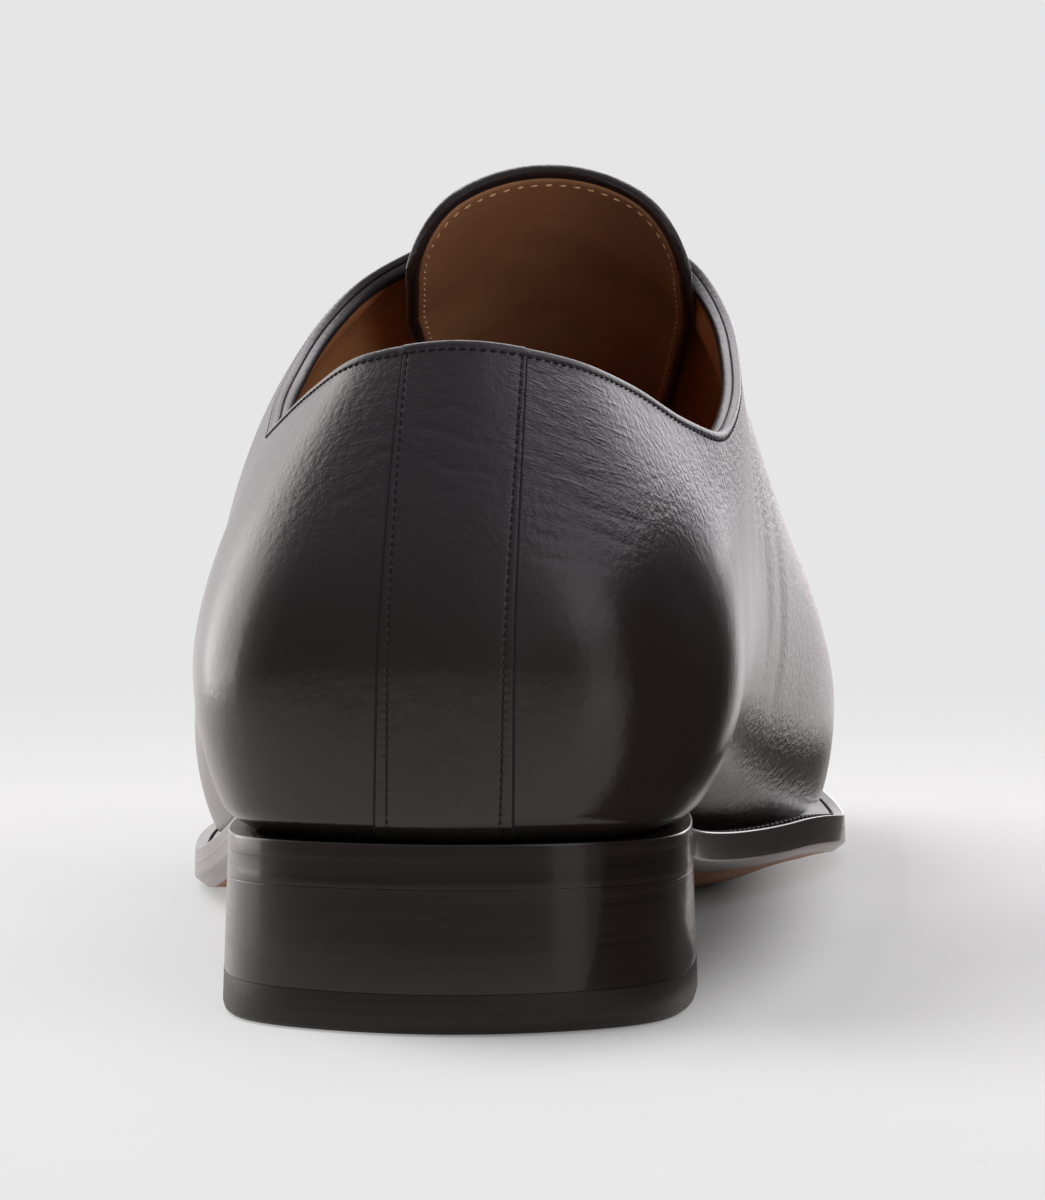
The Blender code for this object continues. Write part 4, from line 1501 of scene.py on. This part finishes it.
@dataclass
class SoleUnit:
    """Insole, welt and outsole, each a closed layer that follows the sole's line.

    Profiles run from the lowest level up, as the inset from the outline and the rise over the
    sole's line. The outsole's rows start with a share of the bevel, and rise from its bottom.
    """

    finishes: Finishes
    columns: int = 460
    strips: int = 24
    insole_inset: float = 2.9
    insole_profile: Pairs = (
        (0.0, 0.3), (0.0, 2.0), (0.12, 2.32), (0.5, 2.5))
    welt_profile: Pairs = (
        (12.0, -2.2), (0.4, -2.29), (0.1, -2.29), (0.1, -2.2), (0.15, -0.4), (0.16, -0.3),
        (0.2, -0.06), (0.28, 0.0), (0.42, 0.0), (0.6, -0.06), (11.0, -0.06), (12.0, -0.3),
        (12.0, -2.2))
    welt_top: float = -0.06
    outsole_bottom: float = -5.8
    outsole_profile: tuple[Triple, ...] = (
        (1.0, 0.5, 0.0), (1.0, 0.0, 0.03), (0.5, 0.0, 0.75), (0.12, 0.03, 1.25), (0.0, 0.05, 1.6),
        (0.0, 0.06, 1.8), (0.0, 0.1, 3.4), (0.0, 0.1, 3.49), (0.0, 0.5, 3.49))
    bevel: float = 1.9
    bevel_start: float = 72.0
    bevel_fade: float = 15.0
    seam_share: float = 0.44
    seam_margin: float = 2.6
    thread: Thread = Thread(pitch=2.3, length=1.9, width=0.62, height=0.3, slant=0.0)

    def ring(self) -> Array:
        """Row numbers round the whole sole."""
        return np.linspace(-TOE_ROW, TOE_ROW, self.columns + 1)

    def margin(self) -> Array:
        """Distance of the upper's foot inside the outline, round the whole sole."""
        return LAST.curve(("margin",), self.ring(), Flow.SMOOTH)[:, 0]

    def wall(self, profile: Sequence[tuple[Array | float, float]]) -> Patch:
        """Strip round the sole through levels of (inset, rise), from the lowest up."""
        u = self.ring()
        rows = [LAST.at_sole(LAST.outline(u, inset), rise) for inset, rise in profile]
        rises = np.array([rise for _, rise in profile])[:, None] * MM
        run = arc_length(LAST.outline(u, 0.0)) * MM
        return grid(np.array(rows), edge_run=run, edge_rise=rises)

    def sheet(self, inset: Array | float, rise: float, up: bool, finish: int = 0) -> Patch:
        """Full sheet between the two sides, ruled straight across the foot.

        Args:
            inset: Distance inside the outline, at every column of the ring or throughout.
            rise: Height over the sole's line.
            up: Whether the sheet looks up.
            finish: Number of the material.

        Returns:
            A grid whose rows run across and whose columns run from the heel to the toe.
        """
        u = self.ring()
        half = len(u) // 2
        values = np.broadcast_to(inset, u.shape)
        plan = LAST.outline(u, values)
        outer, inner = plan[half:], plan[half::-1]
        across = np.linspace(0, 1, self.strips + 1)[:, None, None]
        points = outer + across * (inner - outer)
        rises = LAST.sole_height(points) + rise
        return grid(np.concatenate([points, rises[..., None]], axis=-1), turn=not up, finish=finish)

    def build_insole(self) -> None:
        """Insole: a tan board with a rounded edge."""
        inset = self.margin() + self.insole_inset
        profile = [(inset + more, rise) for more, rise in self.insole_profile]
        sheets = [self.sheet(*profile[-1], True), self.sheet(*profile[0], False)]
        make_piece("insole_board", [self.wall(profile)] + sheets,
                   [self.finishes.lining], replaces=["insole"])

    def build_welt(self) -> None:
        """Welt: a flat ring with a thin raised lip at its edge, and stitches where it shows."""
        u = self.ring()
        margin = self.margin()
        shows = np.flatnonzero(margin > self.seam_margin)
        turned = np.roll(np.arange(len(u) - 1), len(u) // 2)
        route = turned[np.isin(turned, shows)]
        plan = LAST.outline(u, margin * self.seam_share)[route]
        line = LAST.at_sole(plan, self.welt_top)
        up = np.broadcast_to([0.0, 0.0, 1.0], line.shape)
        make_piece("welt_ring", [self.wall(self.welt_profile)],
                   [self.finishes.edge], replaces=["welt"])
        make_piece("welt_stitches", [self.thread.row(line, up)],
                   [self.finishes.thread])

    def build_outsole(self) -> None:
        """Outsole: inked and bevelled edge, brown leather underneath."""
        y = LAST.outline(self.ring(), 0.0)[:, 1]
        bevel = self.bevel * np.clip((y - self.bevel_start) / self.bevel_fade, 0, 1)
        profile = [(share * bevel + inset, self.outsole_bottom + rise)
                   for share, inset, rise in self.outsole_profile]
        sheets = [self.sheet(*profile[0], False, finish=1), self.sheet(*profile[-1], True)]
        make_piece("outsole_leather", [self.wall(profile)] + sheets,
                   [self.finishes.edge, self.finishes.sole], replaces=["outsole"])

    def build(self) -> None:
        """Build the three layers."""
        self.build_insole()
        self.build_welt()
        self.build_outsole()


@dataclass
class Heel:
    """Stacked heel and its rubber top piece, one flush block with a hollowed breast.

    Profiles run from the lowest level up, as the growth outside the sole's outline and the height:
    over the floor, or for the stack's head over its top.
    """

    finishes: Finishes
    breast_y: float = 72.0
    hollow: float = 2.5
    rubber: Pairs = (
        (-0.4, 0.0), (0.1, 0.06), (0.44, 0.3), (0.6, 0.85), (0.47, 5.03), (0.45, 5.12),
        (0.35, 5.15))
    stack_foot: Pairs = ((0.35, 5.16), (0.43, 5.19), (0.43, 5.28))
    stack_waist: float = 0.225
    stack_head: Pairs = ((0.0, -0.12), (0.0, -0.02), (-0.03, 0.0))
    stack_top: float = -5.82
    side_points: int = 120
    breast_points: int = 40
    samples: int = 400

    def loop(self, grow: float) -> Array:
        """Plan of the heel grown outwards: round back, sides, and a breast on a parabola."""
        dense = np.linspace(0, FACING_TOP, self.samples)
        reach = np.interp(self.breast_y, LAST.outline(dense, 0.0)[:, 1], dense)
        side = np.linspace(0, reach, self.side_points)
        outer = LAST.outline(side, -grow)
        inner = LAST.outline(-side, -grow)
        across = np.linspace(-1, 1, self.breast_points)[1:-1]
        breast = np.column_stack([np.interp(across, (-1, 1), (outer[-1, 0], inner[-1, 0])),
                                  self.breast_y - self.hollow * (1 - across ** 2)])
        return np.concatenate([outer, breast, inner[::-1]])

    def block(self, levels: Sequence[tuple[float, Array]]) -> Patch:
        """Closed block through levels of (growth, height of each loop point), lowest first."""
        rows = np.array([np.column_stack([self.loop(grow), height]) for grow, height in levels])
        run = arc_length(self.loop(0.0)) * MM
        patch = grid(rows, edge_run=run, edge_rise=rows[..., 2] * MM)
        count = rows.shape[1]
        patch.flat = [np.arange(count - 1), (np.arange(count - 1) + (len(rows) - 1) * count)[::-1]]
        return patch

    def build(self) -> None:
        """Top piece with a rounded lower edge, and the stack above a hairline seam."""
        y = self.loop(0.0)[:, 1]
        level = np.ones_like(y)
        piece = self.block([(grow, z * level) for grow, z in self.rubber])
        make_piece("heel_top_rubber", [piece], [self.finishes.rubber],
                   replaces=["heel_top_piece"])
        top = LAST.seat_line(np.minimum(y, self.breast_y)) + self.stack_top
        foot = [(grow, z * level) for grow, z in self.stack_foot]
        waist = [(self.stack_waist, 0.5 * (foot[0][1] + top))]
        head = [(grow, top + z) for grow, z in self.stack_head]
        make_piece("heel_lifts", [self.block(foot + waist + head)], [self.finishes.edge],
                   replaces=["heel_stack"])


@dataclass
class Lacing:
    """Five straight bars of round lace, each from one blind eyelet over the throat to the other."""

    finishes: Finishes
    bars: int = 5
    span_y: Pair = (125.0, 168.0)
    radius: float = 1.1
    clearance: float = 0.3
    eyelet_inset: float = 9.0
    mouth: Floats = (-1.6, -0.3, 0.75)
    over: Floats = (6.4, 4.8, 3.2, 1.6, 0.2)
    line_points: int = 90
    kernel: Floats = (1.0, 4.0, 7.0, 9.0, 7.0, 4.0, 1.0)
    across: Triple = (0.0, 1.0, 0.3)
    first_row: float = 7.6
    samples: tuple[int, int] = (60, 160)
    lip_radius: float = 1.75
    lip_tube: float = 0.42
    lip_points: tuple[int, int] = (41, 13)
    lip_squash: float = 0.7
    lip_lift: float = 0.05
    lip_polish: float = 0.5
    instep: Instep = Instep()

    def beside(self, distance: float, side: int, y: float) -> tuple[Array, Array]:
        """Point of the skin at y and a distance from the facing edge, and the normal there."""
        u = side * np.linspace(self.first_row, THROAT_END, self.samples[0])
        v = np.linspace(1, LAST.belly_share, self.samples[1])
        rows, heights = np.broadcast_arrays(u[:, None], v[None, :])
        lines = LAST.skin(rows, heights)
        places = [np.interp(distance, arc_length(line), v) for line in lines]
        points = LAST.skin(u, np.array(places))
        order = np.argsort(points[:, 1])
        row = np.interp(y, points[order, 1], u[order])
        height = np.interp(y, points[order, 1], np.array(places)[order])
        at = np.array([row]), np.array([height])
        return LAST.skin(*at)[0], LAST.normals(*at)[0]

    def bar(self, y: float) -> Patch:
        """One bar: out of an eyelet, along the facing, over the throat and into the other one."""
        lift = self.instep.at(np.array([y]))[1][0] * (self.radius + self.clearance)
        halves = []
        for side in (1, -1):
            hole, out = self.beside(self.eyelet_inset, side, y)
            over = [self.beside(distance, side, y)[0] + lift for distance in self.over]
            halves.append(np.array([hole + rise * out for rise in self.mouth] + over))
        knots = np.concatenate([halves[0], halves[1][::-1]])
        run = arc_length(knots)
        line = resample(knots, run, np.linspace(0, run[-1], self.line_points))
        kernel = np.array(self.kernel) / sum(self.kernel)
        beyond = len(kernel) // 2
        padded = np.pad(line, ((beyond, beyond), (0, 0)), mode="edge")
        smooth = np.stack([np.convolve(column, kernel, "valid") for column in padded.T], axis=1)
        return tube(smooth, np.broadcast_to(self.across, smooth.shape), self.radius)

    def lip(self, y: float, side: int) -> Patch:
        """Pressed lip of a blind eyelet: a small ring of round section on the skin."""
        hole, out = self.beside(self.eyelet_inset, side, y)
        first = unit(np.cross(out, [1.0, 0.0, 0.0]))
        second = np.cross(out, first)
        turn = np.linspace(0, 2 * np.pi, self.lip_points[0])[None, :, None]
        spin = np.linspace(0, 2 * np.pi, self.lip_points[1])[:, None, None]
        outwards = np.cos(turn) * first + np.sin(turn) * second
        wide = self.lip_radius + self.lip_tube * np.cos(spin)
        tall = self.lip_lift + self.lip_squash * self.lip_tube * np.sin(spin)
        return grid(hole + outwards * wide + out * tall, turn=True, polish=self.lip_polish)

    def build(self) -> None:
        """Bars and eyelet lips."""
        places = np.linspace(*self.span_y, self.bars)
        for number, y in enumerate(places, start=1):
            make_piece("lace_run_%d" % number, [self.bar(y)], [self.finishes.lace],
                       replaces=["lace_bar_%d" % number])
        lips = [self.lip(y, side) for y in places for side in (1, -1)]
        make_piece("eyelet_lips", lips, [self.finishes.calf])


class Side(Enum):
    """Where a softbox stands, as its bearing from the toe's direction round to the inner side."""

    BEHIND_LEFT = -52.0
    BEHIND_RIGHT = 18.0
    RIGHT_TOP = 95.0
    KEY = 126.0
    FILL = 154.0
    BEHIND_TOP = 0.0
    LEFT = -82.0


class Role(Enum):
    """What a softbox lights."""

    ALL = "everything"
    GLOSS = "reflections only"
    MATT = "all but reflections"
    FLOOR = "the floor only, for the shoe's shadow"


@dataclass(frozen=True)
class Softbox:
    """A soft light: where it stands, how high, its size in metres and how bright its face is."""

    side: Side
    elevation: float
    distance: float
    width: float
    height: float
    radiance: float
    colour: Triple = (1.0, 1.0, 1.0)
    role: Role = Role.ALL


@dataclass(frozen=True)
class FloorFinish(Finish):
    """Pale grey studio floor, faintly mottled, that fades out round the shoe, with a painted shadow
    near the heel where its glow is cut.
    """

    name: str = "studio_floor"
    light: Colour = rgb(0.205, 0.205, 0.205)
    dark: Colour = rgb(0.195, 0.195, 0.195)
    roughness: Pair = (0.75, 0.9)
    glow: Pair = (0.38, 0.39)
    warm: Colour = rgb(1.0, 0.90, 0.86)
    fade: Pair = (0.15, 0.42)
    # under is the ellipse of the painted shadow: inside it the floor's glow is cut, under the shoe
    # and just beside its inner side.
    under: Triple = (0.008, 0.031, 0.140)
    painted_shadow_edge: Pair = (0.7, 1.4)
    specular: float = 0.1
    mottle: Pair = (9.0, 3.0)

    @staticmethod
    def reach(graph: Graph, ellipse: Triple,
              edge: Pair) -> Socket:
        """Soft step over an ellipse round the shoe: 0 inside it and 1 outside.

        Args:
            graph: The material's graph.
            ellipse: The middle's x, and the half axes along x and y, in metres.
            edge: Where the step starts and ends, in half axes.

        Returns:
            The step's value.
        """
        middle, wide, long = ellipse
        place = graph.node("ShaderNodeMapping")
        graph.feed(place.inputs["Vector"], graph.place())
        place.inputs["Scale"].default_value = 1 / wide, 1 / long, 0.0
        place.inputs["Location"].default_value = -middle / wide, 0.0, 0.0
        length = graph.node("ShaderNodeVectorMath", operation="LENGTH")
        graph.feed(length.inputs[0], place.outputs[0])
        share = graph.spread(length.outputs["Value"], edge, FULL)
        share.node.interpolation_type = "SMOOTHSTEP"
        return share

    def material(self) -> Material:
        """Build the material: it glows, but not in an ellipse under the shoe, which is a painted
        shadow, and it fades out away from it.
        """
        material, graph, shader = self.start()
        seen = graph.node("ShaderNodeLightPath").outputs["Is Camera Ray"]
        graph.feed(shader["Emission Color"], graph.blend(seen, self.warm, rgb(1.0, 1.0, 1.0)))
        # Painted shadow: the glow is cut inside the under ellipse.
        outside_painted_shadow = self.reach(graph, self.under, self.painted_shadow_edge)
        glow = graph.spread(seen, FULL, self.glow)
        graph.feed(shader["Emission Strength"], graph.sum("MULTIPLY", glow, outside_painted_shadow))
        shader["Specular IOR Level"].default_value = self.specular
        tone = graph.noise(graph.place(), *self.mottle)
        graph.feed(shader["Base Color"], graph.blend(tone, self.light, self.dark))
        graph.feed(shader["Roughness"], graph.spread(tone, NOISE_RANGE, self.roughness))
        away = self.reach(graph, (0.0, 1.0, 1.0), self.fade)
        graph.feed(shader["Alpha"], graph.sum("SUBTRACT", 1.0, away))
        return material


@dataclass(frozen=True)
class CardFinish(Finish):
    """Studio card, seen only in reflections: black at one end, grey at the other, both painted
    shade.
    """

    name: str = "painted_shade_card"
    # Painted shade for reflections: black beside the heel, grey beside the forefoot, where the
    # floor would lie in shade.
    light: Colour = rgb(0.26, 0.235, 0.24)
    dark: Colour = rgb(0.012, 0.010, 0.010)
    roughness: float = 0.8

    def material(self) -> Material:
        """Build the material."""
        material, graph, shader = self.start()
        front = graph.point_value("front")
        graph.feed(shader["Base Color"], graph.blend(front, self.dark, self.light))
        shader["Roughness"].default_value = self.roughness
        return material


@dataclass
class Studio:
    """Pale floor, soft light and the camera, which stands behind the heel and a little above it."""

    focal: float = 4730.0
    zoom: float = 1.6
    image_height: float = 1200.0
    sensor: float = 36.0
    centre: Pair = (522.5, 267.0)
    aim: Pair = (276.0, 599.0)
    turn: float = math.radians(3.0)
    axis: float = math.radians(0.449)
    distance: float = 1000.0
    height: float = 123.0
    heel: Pair = (0.0, 40.0)
    target: Triple = (0.0, 70.0, 50.0)
    clip: Pair = (0.05, 30.0)
    backdrop: float = 0.79
    ahead: Pairs = ((-0.2, 0.75), (0.18, 1.1))
    above: Pairs = ((0.3, 0.95), (0.0, 0.45))
    below: Pairs = ((-0.12, -0.06), (0.62, 0.0))
    floor_radius: float = 1.1
    floor_z: float = -0.0002
    floor_points: tuple[int, int] = (8, 97)
    boxes: tuple[Softbox, ...] = (
        Softbox(Side.BEHIND_LEFT, 12.0, 3.0, 2.55, 1.95, 1.7, (1.0, 0.95, 0.93)),
        Softbox(Side.BEHIND_RIGHT, 12.0, 3.0, 2.0, 1.2, 2.3, (1.0, 0.97, 1.0)),
        Softbox(Side.RIGHT_TOP, 33.0, 2.4, 4.0, 1.4, 0.92, (1.0, 0.92, 1.0)),
        Softbox(Side.KEY, 6.0, 3.0, 0.76, 1.8, 0.5, (1.0, 0.93, 0.97)),
        Softbox(Side.FILL, 13.0, 2.6, 1.0, 1.0, 10.0, role=Role.MATT),
        Softbox(Side.BEHIND_TOP, 52.0, 2.8, 3.6, 1.6, 3.2, (1.0, 0.97, 1.0), Role.GLOSS),
        Softbox(Side.LEFT, 46.0, 2.5, 2.6, 2.2, 6.6, role=Role.FLOOR))
    tint: Colour = rgb(1.0, 0.94, 0.96)
    # flag: the card that puts painted shade into the shoe's reflections.
    flag_x: Pair = (70.0, 60.0)
    flag_y: Pair = (-15.0, 300.0)
    flag_foot: Pair = (0.5, 0.0)
    flag_flange: float = 24.0
    flag_heights: Pair = (80.0, 14.0)
    flag_drop: Pair = (85.0, 150.0)
    flag_bow: Pair = (14.0, 10.0)
    flag_points: tuple[int, int] = (40, 8)

    def build_camera(self) -> None:
        """Camera at the photograph's place, aimed at the one shoe with a longer lens."""
        forward = np.array([math.sin(self.axis), math.cos(self.axis), 0.0])
        right = np.array([math.cos(self.axis), -math.sin(self.axis), 0.0])
        aside = (self.aim[0] - self.centre[0]) / self.focal
        below = (self.aim[1] - self.centre[1]) / self.focal
        look = Vector(forward + aside * right - below * np.array([0.0, 0.0, 1.0]))
        data = bpy.data.cameras.new("camera")
        data.sensor_width = self.sensor
        data.lens = self.sensor * self.focal / self.image_height * self.zoom
        data.clip_start, data.clip_end = self.clip
        camera = bpy.data.objects.new("camera", data)
        away = self.distance * np.array([math.sin(self.turn), -math.cos(self.turn), 0.0])
        camera.location = (np.array([*self.heel, self.height]) + away + SHIFT) * MM
        camera.rotation_euler = look.to_track_quat("-Z", "Y").to_euler()
        bpy.context.scene.collection.objects.link(camera)
        bpy.context.scene.camera = camera

    def build_lights(self, floor_only: bpy.types.Collection) -> None:
        """Softboxes turned to the shoe: a face's power is its radiance times pi times its area.

        Args:
            floor_only: Collection of what a light with the floor's role lights.
        """
        target = Vector((np.array(self.target) + SHIFT) * MM)
        for box in self.boxes:
            bearing, rise = math.radians(box.side.value), math.radians(box.elevation)
            level = math.cos(rise)
            away = Vector((math.sin(bearing) * level, math.cos(bearing) * level, math.sin(rise)))
            data = bpy.data.lights.new(box.side.name.lower(), "AREA")
            data.shape = "RECTANGLE"
            data.size, data.size_y = box.width, box.height
            data.energy = box.radiance * math.pi * box.width * box.height
            data.color = box.colour
            light = bpy.data.objects.new(data.name, data)
            light.location = target + box.distance * away
            light.rotation_euler = (-away).to_track_quat("-Z", "Y").to_euler()
            light.visible_camera = False
            light.visible_glossy = box.role in (Role.ALL, Role.GLOSS)
            light.visible_diffuse = box.role is not Role.GLOSS
            if box.role is Role.FLOOR:
                light.light_linking.receiver_collection = floor_only
            bpy.context.scene.collection.objects.link(light)

    def build_world(self) -> None:
        """Surroundings: plain grey for the camera, bright ahead and dark behind for the shoe."""
        world = bpy.data.worlds.new("studio")
        world.use_nodes = True
        graph = Graph(world.node_tree)
        background = world.node_tree.nodes["Background"].inputs
        direction = graph.node("ShaderNodeTexCoord").outputs["Generated"]
        split = graph.node("ShaderNodeSeparateXYZ")
        graph.feed(split.inputs[0], direction)
        ahead = graph.spread(split.outputs["Y"], *self.ahead)
        above = graph.spread(split.outputs["Z"], *self.above)
        below = graph.spread(split.outputs["Z"], *self.below)
        tinted = graph.node("ShaderNodeVectorMath", operation="SCALE")
        tinted.inputs[0].default_value = self.tint[:3]
        level = graph.sum("MAXIMUM", ahead, below)
        graph.feed(tinted.inputs["Scale"], graph.sum("ADD", level, above))
        seen = graph.node("ShaderNodeLightPath").outputs["Is Camera Ray"]
        plain = rgb(self.backdrop, self.backdrop, self.backdrop)
        graph.feed(background["Color"], graph.blend(seen, tinted.outputs[0], plain))
        bpy.context.scene.world = world

    def build_floor(self) -> bpy.types.Collection:
        """Flat floor disc, just under the shoe.

        Returns:
            A collection that holds only the floor.
        """
        radius = self.floor_radius * np.linspace(0, 1, self.floor_points[0])[:, None]
        turn = np.linspace(0, 2 * np.pi, self.floor_points[1])[None, :]
        x, y = radius * np.cos(turn), radius * np.sin(turn)
        points = np.stack([x, y, np.full_like(x, self.floor_z)], axis=-1)
        floor = self.staged("floor", grid(points), FloorFinish().material())
        floor_only = bpy.data.collections.new("floor_only")
        floor_only.objects.link(floor)
        return floor_only

    @staticmethod
    def staged(name: str, patch: Patch, material: Material) -> bpy.types.Object:
        """Put a patch, in metres, into the studio with its point values and material."""
        mesh = bpy.data.meshes.new(name)
        mesh.from_pydata(patch.points, [], patch.quads.tolist())
        for key, values in patch.fields.items():
            layer = mesh.attributes.new(key, "FLOAT", "POINT")
            layer.data.foreach_set("value", values.astype(np.float32))
        mesh.materials.append(material)
        made = bpy.data.objects.new(name, mesh)
        bpy.context.scene.collection.objects.link(made)
        return made

    def build_flag(self) -> None:
        """Card beside the shoe, for reflections only: tall and dark at the heel, then low, grey;
        painted shade in the reflections on the heel and the forefoot.
        """
        places = [np.linspace(0, 1, count) for count in self.flag_points]
        share, rise = np.meshgrid(*places, indexing="ij")
        y = self.flag_y[0] + share * (self.flag_y[1] - self.flag_y[0])
        front = smooth_step(*self.flag_drop, y)
        near, foot, height = [np.interp(front, (0, 1), ends)
                              for ends in (self.flag_x, self.flag_foot, self.flag_heights)]
        bow = self.flag_bow[0] * (2 * share - 1) ** 4 - self.flag_bow[1] * (2 * rise - 1) ** 2
        x = near + (1 - front) * (bow - self.flag_flange * (rise == 0))
        points = (np.stack([x, y, foot + rise * (height - foot)], axis=-1) + SHIFT) * MM
        patch = grid(points, turn=True, front=front)
        card = self.staged("painted_shade_flag", patch, CardFinish().material())
        card.visible_camera = card.visible_diffuse = card.visible_shadow = False

    def build(self) -> None:
        """Build the studio."""
        self.build_flag()
        self.build_camera()
        self.build_lights(self.build_floor())
        self.build_world()
        bpy.context.scene.view_settings.view_transform = "Standard"


def main() -> None:
    """Build the studio and the shoe, from the floor up."""
    logging.basicConfig(level=logging.INFO, format="%(name)s: %(message)s")
    Studio().build()
    finishes = Finishes()
    for assembly in (Heel, SoleUnit, Upper, Tongue, Lacing):
        assembly(finishes).build()


if __name__ == "__main__":
    main()
